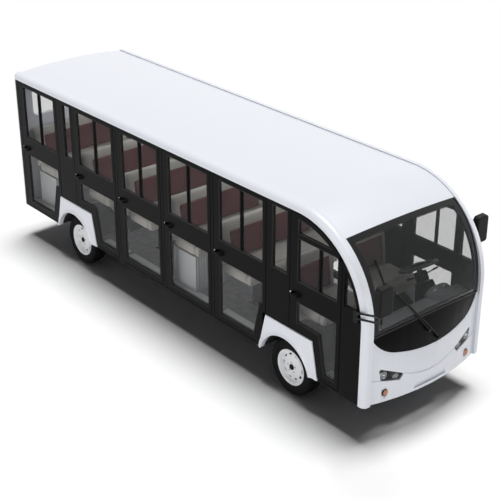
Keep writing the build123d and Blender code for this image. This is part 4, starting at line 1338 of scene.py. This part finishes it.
@dataclass
class NoseLamps:
    """Reflectors, lenses and clear covers in the headlamp pockets, and the turn lamps' bezels."""

    shop: Workshop
    nose: float = 2.832
    bow: float = 0.102
    half: float = 0.6897
    pocket: tuple[float, float, float] = (2.790, 0.104, 0.69)
    outline: Profile = ((0.600, 0.728), (0.330, 0.609), (0.376, 0.557), (0.576, 0.600))
    lenses: tuple[tuple[float, float, float], ...] = ((0.543, 0.644, 0.044), (0.412, 0.603, 0.034))
    turn: Point2 = (0.530, 0.475)
    bezel: Profile = (
        (0.0302, 0.004), (0.0315, 0.0085), (0.035, 0.0085), (0.0375, 0.003), (0.0375, -0.006),
    )

    def surface(self, y: float) -> float:
        """Returns X on the nose's outer surface at a place across it."""
        radius = (self.half**2 + self.bow**2) / (2 * self.bow)
        return self.nose - radius + math.sqrt(radius**2 - y**2)

    def lamp(self, side: Side) -> None:
        """Builds one headlamp's inner parts and cover."""
        p = self.shop.palette
        floor, bow, half = self.pocket
        for k, (y, z, r) in enumerate(self.lenses):
            at = (floor - bow * (y / half) ** 2 + 0.002, side.value * y, z)
            bowl = [(r * t, 0.026 * t * t) for t in (0.0, 0.3, 0.6, 0.85, 0.96)]
            bowl += [(r * 0.99, 0.028), (r * 0.99, 0.0)]
            dome = [(r * 0.62 * math.sin(a), 0.004 + 0.020 * math.cos(a)) for a in (0.0, 0.4, 0.8, 1.2, 1.57)]
            lip = [(r * 0.97, 0.026), (r * 1.0, 0.031), (r * 1.07, 0.030), (r * 1.08, 0.024)]
            parts = (
                ("reflector", bowl, p.bowl, 36),
                ("lens", dome, p.pearl, 32),
                ("lamp_ring", lip, p.chrome, 40),
            )
            for word, profile, finish, steps in parts:
                self.shop.lathe(f"{word}_{side.tag}_{k}", profile, at, AHEAD, finish, steps=steps)
        inner = inset(rounded([(side.value * y, z) for y, z in self.outline], 0.018, 5), 0.0015)
        points = [(self.surface(y) - sunk, y, z) for sunk in (0.0015, 0.0045) for y, z in inner]
        count = len(inner)
        faces = [tuple(range(count)), tuple(range(count, 2 * count))] + skirt(count)
        self.shop.mesh(f"lamp_cover_{side.tag}", points, faces, p.clear)

    def turn_ring(self, side: Side) -> None:
        """Builds the dark bezel round a turn lamp."""
        y, z = self.turn
        at = (self.surface(y) + 0.004, side.value * y, z)
        self.shop.lathe(f"turn_bezel_{side.tag}", self.bezel, at, AHEAD, self.shop.palette.dark, steps=36)

    def dress(self) -> None:
        """Builds both sides' lamps."""
        for side in Side:
            self.lamp(side)
            self.turn_ring(side)


@dataclass
class Mirrors:
    """Silvered faces of the two mirrors."""

    shop: Workshop
    heads: tuple[tuple[str, Point3, float], ...] = (
        ("right", (2.981, -0.858, 1.592), 0.084),
        ("left", (2.528, 0.872, 1.560), 0.078),
    )
    height: float = 0.136
    margin: float = 0.012

    def dress(self) -> None:
        """Builds a glass with a sloped edge on each head's rear face."""
        for tag, (x, y, z), half in self.heads:
            across, up = half - self.margin, self.height - self.margin
            outline = rounded(oblong((y - across, y + across), (z - up, z + up)), 0.02, 5)
            count = len(outline)
            points = [(x, a, b) for a, b in outline] + [(x - 0.003, a, b) for a, b in inset(outline, 0.004)]
            faces = [tuple(range(count, 2 * count))] + skirt(count)
            self.shop.mesh(f"mirror_glass_{tag}", points, faces, self.shop.palette.chrome)


@dataclass
class Cab:
    """Driver's place: rim cover and boss of the wheel, gauges, stalks, switches and pedals."""

    shop: Workshop
    hub: Point3 = (2.273, 0.378, 1.221)
    axis: Point3 = (-0.5, 0.0, 0.8660254)
    rim: Point2 = (0.178, 0.0155)
    boss: Profile = (
        (0.0, 0.036), (0.034, 0.035), (0.058, 0.031), (0.071, 0.023), (0.077, 0.010), (0.076, -0.004),
        (0.064, -0.012),
    )
    seam: Point2 = (0.047, 0.0335)
    shroud: Profile = (
        (0.027, -0.150), (0.058, -0.142), (0.063, -0.120), (0.062, -0.066), (0.056, -0.050), (0.028, -0.044),
    )
    stalk: Profile = (
        (0.0065, 0.0), (0.0055, 0.085), (0.0095, 0.096), (0.0105, 0.140), (0.008, 0.152), (0.0, 0.154),
    )
    hood_x: Point2 = (2.505, 2.640)
    hood_half: float = 0.165
    hood_height: float = 0.090
    hood_skin: float = 0.006
    dash_top: float = 1.030
    dials: tuple[tuple[str, float, float], ...] = (
        ("speed", 0.445, 0.044), ("charge", 0.318, 0.038), ("lamp", 0.380, 0.016),
    )
    dial_x: float = 2.545
    vents: tuple[tuple[str, float], ...] = (("a", -0.520), ("b", 0.585))
    vent_ring: Profile = (
        (0.030, 0.004), (0.033, 0.010), (0.040, 0.010), (0.045, 0.003), (0.045, -0.008),
    )
    knob: Profile = (
        (0.0, 0.052), (0.012, 0.050), (0.016, 0.042), (0.014, 0.030), (0.007, 0.022), (0.006, 0.0),
    )
    pedal_arm: Profile = ((2.484, 0.580), (2.515, 0.640), (2.545, 0.730), (2.566, 0.800))

    def wheel(self) -> None:
        """Covers the steering wheel's rim with leather and its middle with a padded boss."""
        p = self.shop.palette
        radius, thick = self.rim
        turns = [2 * math.pi * k / 14 for k in range(15)]
        ring = [(radius + thick * math.cos(a), thick * math.sin(a)) for a in turns]
        self.shop.lathe("wheel_grip", ring, self.hub, self.axis, p.grip, "steering_wheel", 64, 60.0)
        self.shop.lathe("wheel_boss", self.boss, self.hub, self.axis, p.dark, "steering_wheel", 48, 60.0)
        radius, rise = self.seam
        middle = Vector(self.hub) + Vector(self.axis) * rise
        seam = [tuple(middle + radius * self.around(2 * math.pi * k / 32)) for k in range(32)]
        self.shop.tube("wheel_boss_ring", seam, 0.0022, p.zinc, "steering_wheel", True, 6)

    def around(self, turn: float) -> Vector:
        """Returns the direction in the wheel's plane at a turn from the car's left."""
        side = Vector((0, 1, 0))
        return math.cos(turn) * side + math.sin(turn) * Vector(self.axis).cross(side)

    def column(self) -> None:
        """Builds the upper shroud and the two stalks."""
        p = self.shop.palette
        self.shop.lathe("column_shroud", self.shroud, self.hub, self.axis, p.dark, steps=40)
        for tag, sign in (("left", 1), ("right", -1)):
            start = Vector(self.hub) + Vector(self.axis) * -0.090 + Vector((0.0, sign * 0.056, 0.0))
            way = (0.10, sign, 0.20)
            self.shop.lathe(f"column_stalk_{tag}", self.stalk, tuple(start), way, p.dark, steps=20)

    def hood(self) -> None:
        """Builds the arched hood over the gauges, open to the driver."""
        points: list[Point3] = []
        steps, arch = 9, 20
        for layer in (0.0, self.hood_skin):
            for i in range(steps + 1):
                t = i / steps
                x = self.hood_x[0] + t * (self.hood_x[1] - self.hood_x[0])
                half = (self.hood_half - layer) * (1 - 0.30 * t * t)
                rise = (self.hood_height - layer) * (1 - t**1.6) + 0.004
                for k in range(arch + 1):
                    a = math.pi * k / arch
                    up = abs(math.sin(a)) ** 0.55
                    spot = (x + 0.012 * (1 - up), self.hub[1] + half * math.cos(a), self.dash_top + rise * up)
                    points.append(spot)
        row = arch + 1
        shell = (steps + 1) * row
        faces: Faces = []
        for i in range(steps):
            for k in range(arch):
                here = i * row + k
                faces.append((here, here + 1, here + row + 1, here + row))
                faces.append((shell + here, shell + here + row, shell + here + row + 1, shell + here + 1))
        faces += [(k, shell + k, shell + k + 1, k + 1) for k in range(arch)]
        self.shop.mesh("gauge_hood", points, faces, self.shop.palette.dash)

    def gauges(self) -> None:
        """Builds the dials with their bezels and needles, leaning towards the driver."""
        p = self.shop.palette
        lean = Vector((-1.0, 0.0, 0.28)).normalized()
        for tag, y, size in self.dials:
            at = (self.dial_x, y, self.dash_top + 0.046)
            dial = [(0.0, 0.003), (size * 0.9, 0.003), (size * 0.92, 0.0)]
            self.shop.lathe(f"gauge_dial_{tag}", dial, at, tuple(lean), p.gauge, steps=40)
            bezel = [(size * 0.9, 0.002), (size * 0.93, 0.008), (size, 0.007), (size * 1.03, -0.004)]
            self.shop.lathe(f"gauge_bezel_{tag}", bezel, at, tuple(lean), p.chrome, steps=40)
            needle = Vector(at) + lean * 0.0045
            tip = needle + Vector((0.0, -0.5, 0.62)) * size
            self.shop.tube(f"gauge_needle_{tag}", [tuple(needle), tuple(tip)], 0.0011, p.amber, sides=5)

    def switches(self) -> None:
        """Builds the rocker switches, the blank screen, the vents and the selector on the dashboard."""
        p = self.shop.palette
        for k in range(6):
            y = -0.060 + 0.040 * k
            self.shop.plank(
                f"rocker_switch_{k}", (2.472, y - 0.013, 0.915), (2.500, y + 0.013, 0.957), 0.005, p.gauge,
                shape=lambda box, unit: Vector((box.x + 0.003 * unit.z * unit.z, box.y, box.z)),
            )
        self.shop.plank("blank_screen", (2.474, -0.330, 0.875), (2.496, -0.120, 0.985), 0.010, p.gauge)
        for tag, y in self.vents:
            at = (2.490, y, 0.945)
            self.shop.lathe(f"air_vent_ring_{tag}", self.vent_ring, at, (-1, 0, 0.05), p.dark, steps=36)
            for n in range(5):
                z = at[2] - 0.024 + 0.012 * n
                half = math.sqrt(0.031**2 - (z - at[2]) ** 2)
                line = [(at[0] - 0.003, y - half, z), (at[0] - 0.003, y + half, z)]
                self.shop.tube(f"air_vent_vane_{tag}_{n}", line, 0.0024, p.dark, sides=6)
        at, way = (2.482, 0.205, 0.975), (-1.0, 0.0, 0.35)
        self.shop.lathe("drive_selector", self.knob, at, way, p.dark, steps=24)

    def pedals(self) -> None:
        """Builds the two hung pedals."""
        p = self.shop.palette
        for tag, y, half in (("brake", 0.535, 0.038), ("drive", 0.235, 0.028)):
            self.shop.plank(
                f"pedal_pad_{tag}", (2.462, y - half, 0.520), (2.486, y + half, 0.625), 0.008, p.seal,
                shape=lambda box, unit: Vector((box.x + 0.35 * box.z, box.y, box.z)),
            )
            line = [(x, y, z) for x, z in self.pedal_arm]
            self.shop.tube(f"pedal_arm_{tag}", line, 0.008, p.steel, sides=10)

    def dress(self) -> None:
        """Builds the whole of the driver's place."""
        self.wheel()
        self.column()
        self.hood()
        self.gauges()
        self.switches()
        self.pedals()


@dataclass
class Cabin:
    """Fittings in the passengers' space: rails, lamps, door steps, seat feet and battery box ribs."""

    shop: Workshop
    doors: Profile = (
        (-2.940, -2.290), (-1.440, -1.020), (-0.955, -0.200), (-0.140, 0.615), (0.676, 1.330), (2.175, 2.420),
    )
    step_y: Point2 = (0.598, 0.676)
    floor: float = 0.440
    rail_y: float = 0.330
    rail_z: float = 1.915
    rail_ends: tuple[Profile, Profile] = (
        ((-2.780, 1.985), (-2.765, 1.935), (-2.720, 1.915)), ((1.105, 1.915), (1.150, 1.935), (1.165, 1.985)),
    )
    post: Profile = ((0.016, 0.0), (0.010, 0.010), (0.010, 0.062), (0.022, 0.070), (0.024, 0.082))
    loop: tuple[Point3, ...] = (
        (1.560, -0.015, 1.120), (1.556, -0.015, 1.165), (1.548, -0.015, 1.250), (1.540, -0.015, 1.340),
        (1.540, 0.0, 1.362),
        (1.545, 0.015, 1.340), (1.548, 0.015, 1.250), (1.556, 0.015, 1.165), (1.560, 0.015, 1.120),
    )
    legs: tuple[float, ...] = (2.097, 1.083, -0.549, -1.365)
    foot: Point2 = (0.155, 0.125)
    bolts: Profile = ((-0.140, -0.110), (0.140, -0.110), (0.140, 0.110), (-0.140, 0.110))
    bolt: Profile = ((0.0, 0.007), (0.006, 0.007), (0.0075, 0.005), (0.0075, 0.0))
    boxes: tuple[float, ...] = (0.267, -2.410)
    box_half: float = 0.640
    box_top: float = 0.830

    def steps(self) -> None:
        """Builds a ribbed alloy plate inside each door opening."""
        p = self.shop.palette
        top = self.floor + 0.004
        for side in Side:
            y0, y1 = sorted(side.value * y for y in self.step_y)
            for k, (rear, front) in enumerate(self.doors):
                tag = f"{side.tag}_{k + 1}"
                self.shop.plank(
                    f"door_step_{tag}", (rear, y0, self.floor - 0.001), (front, y1, top), 0.002, p.alloy
                )
                for n in range(4):
                    y = side.value * (0.608 + 0.019 * n)
                    line = [(rear + 0.012, y, top), (front - 0.012, y, top)]
                    self.shop.tube(f"door_step_rib_{tag}_{n}", line, 0.0022, p.alloy, sides=6)

    def rails(self) -> None:
        """Builds the overhead rails with their posts, and a grab loop behind the front seats."""
        p = self.shop.palette
        for side in Side:
            y = side.value * self.rail_y
            rear, front = ([(x, y, z) for x, z in end] for end in self.rail_ends)
            line = rear + [(-2.72 + 0.42 * k, y, self.rail_z) for k in range(1, 10)] + front
            self.shop.tube(f"overhead_rail_{side.tag}", line, 0.0125, p.rail, sides=14)
            for k, x in enumerate((-1.88, -0.90, 0.08)):
                at = (x, y, self.rail_z + 0.003)
                self.shop.lathe(f"rail_post_{side.tag}_{k}", self.post, at, UP, p.rail, steps=20)
        self.shop.tube("seat_grab_loop", self.loop, 0.010, p.rail, sides=10)

    def lamps(self) -> None:
        """Builds the ceiling lamps."""
        p = self.shop.palette
        for k, x in enumerate((-2.35, -1.20, -0.05, 1.10)):
            low, high = (x - 0.150, -0.050, 1.985), (x + 0.150, 0.050, 2.030)
            self.shop.plank(f"ceiling_lamp_base_{k}", low, high, 0.010, p.rail)
            low, high = (x - 0.135, -0.038, 1.974), (x + 0.135, 0.038, 1.992)
            self.shop.plank(f"ceiling_lamp_lens_{k}", low, high, 0.008, p.pearl)

    def feet(self) -> None:
        """Builds the foot plates and bolts of the seat pedestals."""
        p = self.shop.palette
        along, across = self.foot
        for k, nose in enumerate(self.legs):
            for side in Side:
                x, y = nose - 0.240, side.value * 0.215
                tag = f"{k}_{side.tag}"
                low = (x - along, y - across, self.floor - 0.001)
                high = (x + along, y + across, self.floor + 0.008)
                self.shop.plank(f"seat_foot_{tag}", low, high, 0.003, p.dark)
                for n, (dx, dy) in enumerate(self.bolts):
                    at = (x + dx, y + dy, self.floor + 0.0075)
                    self.shop.lathe(f"seat_bolt_{tag}_{n}", self.bolt, at, UP, p.zinc, steps=6)

    def ribs(self) -> None:
        """Builds upright ribs on the front faces of the battery boxes."""
        count, arc = 38, 7
        for index, nose in enumerate(self.boxes):
            x = nose - 0.060
            points: list[Point3] = []
            faces: Faces = []
            for n in range(count):
                y = -self.box_half + 0.030 + n * (2 * self.box_half - 0.060) / (count - 1)
                base = len(points)
                for z in (self.floor + 0.030, self.box_top):
                    for k in range(arc):
                        a = math.pi * k / (arc - 1)
                        points.append((x - 0.001 + 0.007 * math.sin(a), y + 0.009 * math.cos(a), z))
                for k in range(base, base + arc - 1):
                    faces.append((k, k + 1, k + arc + 1, k + arc))
                faces += [tuple(range(base, base + arc)), tuple(range(base + arc, base + 2 * arc))]
            self.shop.mesh(f"battery_box_ribs_{index}", points, faces, self.shop.palette.grey_box)

    def dress(self) -> None:
        """Builds all fittings."""
        self.steps()
        self.rails()
        self.lamps()
        self.feet()
        self.ribs()


@dataclass
class Trim:
    """Small outside fittings: trim screws, the wiper's edge, the screen's seal and the tail lamps' frames."""

    shop: Workshop
    nodes: dict[str, Piece]
    screws: Profile = (
        (-0.345, 0.430), (-0.262, 0.738), (0.040, 0.742), (0.340, 0.738), (0.405, 0.430),
    )
    screw: Profile = ((0.0, 0.0035), (0.005, 0.003), (0.0075, 0.001), (0.008, -0.001))
    screw_y: float = 0.772
    blade: Profile = (
        (-0.485, 1.280), (-0.510, 1.392), (-0.532, 1.510), (-0.538, 1.606), (-0.537, 1.696),
    )
    blade_rise: Point2 = (0.0012, 0.0085)
    blade_half: float = 0.003
    seal_half: float = 0.680
    seal_z: Point2 = (1.000, 1.300)
    frame_margin: float = 0.007
    far: float = 4.0

    def surface(self, name: str) -> BVHTree:
        """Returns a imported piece's surface, ready for casting rays."""
        return casting_tree(self.nodes[name].data, self.nodes[name].matrix_world)

    def heads(self) -> None:
        """Builds painted screw heads on the arch trims."""
        white = self.shop.palette.white
        for side in Side:
            for k, axle in enumerate(sorted(AXLES.values())):
                for n, (along, z) in enumerate(self.screws):
                    at = (axle + along, side.value * self.screw_y, z)
                    name = f"trim_screw_{side.tag}_{k}_{n}"
                    self.shop.lathe(name, self.screw, at, (0, side.value, 0), white, steps=16)

    def wiper_edge(self) -> None:
        """Lays a rubber edge on the glass under the wiper's blade."""
        tree = self.surface("windscreen")
        points: list[Point3] = []
        for (y0, z0), (y1, z1) in zip(self.blade, self.blade[1:]):
            for k in range(6):
                t = k / 6
                spot, normal, _, _ = cast(tree, self.far, y0 + t * (y1 - y0), z0 + t * (z1 - z0))
                normal = normal if normal.x > 0 else -normal
                low, high = (spot + normal * rise for rise in self.blade_rise)
                points.append(tuple(low))
                points += [(high.x, high.y + half, high.z) for half in (-self.blade_half, self.blade_half)]
        faces: Faces = [(0, 1, 2), tuple(range(len(points) - 3, len(points)))]
        for a in range(0, len(points) - 3, 3):
            b = a + 3
            faces += [(a, a + 1, b + 1, b), (a + 1, a + 2, b + 2, b + 1), (a + 2, a, b, b + 2)]
        self.shop.mesh("wiper_edge", points, faces, self.shop.palette.seal)

    def screen_seal(self) -> None:
        """Lays a rubber seal along the windscreen's lower edge, which halving steps find."""
        tree = self.surface("windscreen")
        line: list[Point3] = []
        for k in range(41):
            y = -self.seal_half + 2 * self.seal_half * k / 40
            low, high = self.seal_z
            for _ in range(14):
                middle = (low + high) / 2
                if cast(tree, self.far, y, middle)[0] is None:
                    low = middle
                else:
                    high = middle
            hit = cast(tree, self.far, y, high + 0.001)[0]
            line.append((hit.x - 0.001, y, high - 0.001))
        self.shop.tube("screen_seal", line, 0.008, self.shop.palette.seal, sides=10)

    def tail_frames(self) -> None:
        """Frames each tail lamp and parts its lens into three fields."""
        node = self.nodes["tail_lamps"]
        tree = self.surface("tail_lamps")
        spots = [node.matrix_world @ v.co for v in node.data.vertices]
        for side in Side:
            own = [q for q in spots if q.y * side.value > 0]
            y0, y1 = min(q.y for q in own) + self.frame_margin, max(q.y for q in own) - self.frame_margin
            z0, z1 = min(q.z for q in own) + self.frame_margin, max(q.z for q in own) - self.frame_margin
            parts = [("frame", rounded(oblong((y0, y1), (z0, z1)), 0.012, 4), 0.0045, True)]
            for k in (1, 2):
                z = z0 + (z1 - z0) * k / 3
                parts.append((f"bar_{k}", [(y0 + (y1 - y0) * n / 4, z) for n in range(5)], 0.0028, False))
            for tag, loop, radius, closed in parts:
                hits = [cast(tree, -self.far, y, z)[0] for y, z in loop]
                line = [tuple(hit) for hit in hits if hit is not None]
                name = f"tail_lamp_{tag}_{side.tag}"
                self.shop.tube(name, line, radius, self.shop.palette.chrome, "body", closed, 8)

    def dress(self) -> None:
        """Builds all small fittings."""
        self.heads()
        self.wiper_edge()
        self.screen_seal()
        self.tail_frames()


@dataclass
class Studio:
    """Plain pale floor, a high light, low fills and the camera."""

    eye: Point3 = (8.569, -6.922, 6.059)
    aim: Point3 = (0.291, 0.008, 0.7605)
    lens: float = 83.107
    sky: float = 0.05
    reach: float = 40.0
    floor_grey: float = 0.92
    sun_way: Point3 = (0.06, -0.11, -1.0)
    sun_strength: float = 3.29
    sun_degrees: float = 24.0
    fills: tuple[tuple[str, Point3, Point3, Point2, float], ...] = (
        ("front_fill", (10.0, -2.0, 1.2), (1.5, 0.0, 1.0), (5.0, 1.2), 135),
        ("right_fill", (0.5, -10.0, 1.0), (0.0, 0.0, 1.0), (9.0, 1.0), 330),
        ("left_fill", (0.5, 10.0, 1.0), (0.0, 0.0, 1.0), (9.0, 1.0), 260),
        ("rear_fill", (-10.5, 1.0, 1.2), (-2.0, 0.0, 1.0), (5.0, 1.2), 150),
        ("cabin_fill", (-0.6, 0.0, 1.90), (-0.6, 0.0, 0.0), (4.4, 0.5), 11),
    )

    def floor(self) -> Piece:
        """Builds the floor, which keeps the car's shadow, and returns it."""
        data = bpy.data.meshes.new("studio_floor")
        span = (-self.reach, self.reach)
        data.from_pydata([(x, y, 0) for x, y in oblong(span, span)], [], [(0, 1, 2, 3)])
        ground = bpy.data.objects.new("studio_floor", data)
        bpy.context.scene.collection.objects.link(ground)
        board = ShaderBoard("studio_floor")
        socket(board.shader, "Base Color", (self.floor_grey, self.floor_grey, self.floor_grey, 1))
        socket(board.shader, "Roughness", 0.5)
        socket(board.shader, "Specular IOR Level", 0.0)
        data.materials.append(board.material)
        return ground

    def place(self, data: bpy.types.ID, spot: Point3, way: Vector) -> Piece:
        """Puts a lamp or camera at a spot, facing a way, and returns its object."""
        made = bpy.data.objects.new(data.name, data)
        made.location = spot
        made.rotation_euler = way.to_track_quat("-Z", "Y").to_euler()
        bpy.context.scene.collection.objects.link(made)
        return made

    def lights(self, ground: Piece) -> None:
        """Adds the high light and the fills, which spare the floor so that the car's shadow stays deep."""
        sun = bpy.data.lights.new("high_light", "SUN")
        sun.energy = self.sun_strength
        sun.angle = math.radians(self.sun_degrees)
        self.place(sun, (0, 0, 0), Vector(self.sun_way))
        spared = bpy.data.collections.new("fill_receivers")
        spared.objects.link(ground)
        for entry in spared.collection_objects:
            entry.light_linking.link_state = "EXCLUDE"
        for name, spot, aim, size, watts in self.fills:
            data = bpy.data.lights.new(name, "AREA")
            data.shape = "RECTANGLE"
            data.size, data.size_y = size
            data.energy = watts
            lamp = self.place(data, spot, Vector(aim) - Vector(spot))
            lamp.light_linking.receiver_collection = spared

    def camera(self) -> None:
        """Adds the camera at the photograph's angle."""
        data = bpy.data.cameras.new("camera")
        data.lens = self.lens
        data.sensor_width = 36.0
        data.sensor_fit = "HORIZONTAL"
        data.clip_end = 200.0
        bpy.context.scene.camera = self.place(data, self.eye, Vector(self.aim) - Vector(self.eye))

    def world(self) -> None:
        """Sets a sky that looks white, directly and in reflections, and lights the car only a little."""
        world = bpy.data.worlds.new("studio")
        world.use_nodes = True
        nodes, links = world.node_tree.nodes, world.node_tree.links
        back = nodes["Background"]
        back.inputs["Color"].default_value = (1.0, 1.0, 1.0, 1)
        path = nodes.new("ShaderNodeLightPath")
        seen = path.outputs["Is Camera Ray"]
        for ray in ("Is Glossy Ray", "Is Transmission Ray"):
            either = nodes.new("ShaderNodeMath")
            either.operation = "MAXIMUM"
            links.new(seen, either.inputs[0])
            links.new(path.outputs[ray], either.inputs[1])
            seen = either.outputs["Value"]
        strength = nodes.new("ShaderNodeMapRange")
        strength.inputs["To Min"].default_value = self.sky
        strength.inputs["To Max"].default_value = 1.0
        links.new(seen, strength.inputs["Value"])
        links.new(strength.outputs["Result"], back.inputs["Strength"])
        bpy.context.scene.world = world

    def build(self) -> None:
        """Builds the whole studio."""
        self.lights(self.floor())
        self.camera()
        self.world()
        bpy.context.scene.view_settings.view_transform = "Standard"


def main() -> None:
    """Builds the car piece by piece."""
    logging.basicConfig(level=logging.INFO, format="%(message)s")
    for start in list(bpy.data.objects):
        bpy.data.objects.remove(start)
    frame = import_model()
    shop = Workshop(Palette())
    BodyShell(shop, frame["nodes"]).dress()
    SideGlazing(shop).dress()
    Wheels(shop).dress()
    Benches(shop).dress()
    NoseLamps(shop).dress()
    Cab(shop).dress()
    Cabin(shop).dress()
    Trim(shop, frame["nodes"]).dress()
    Mirrors(shop).dress()
    Studio().build()
    bpy.context.view_layer.update()
    LOG.info("the car is dressed")


if __name__ == "__main__":
    main()
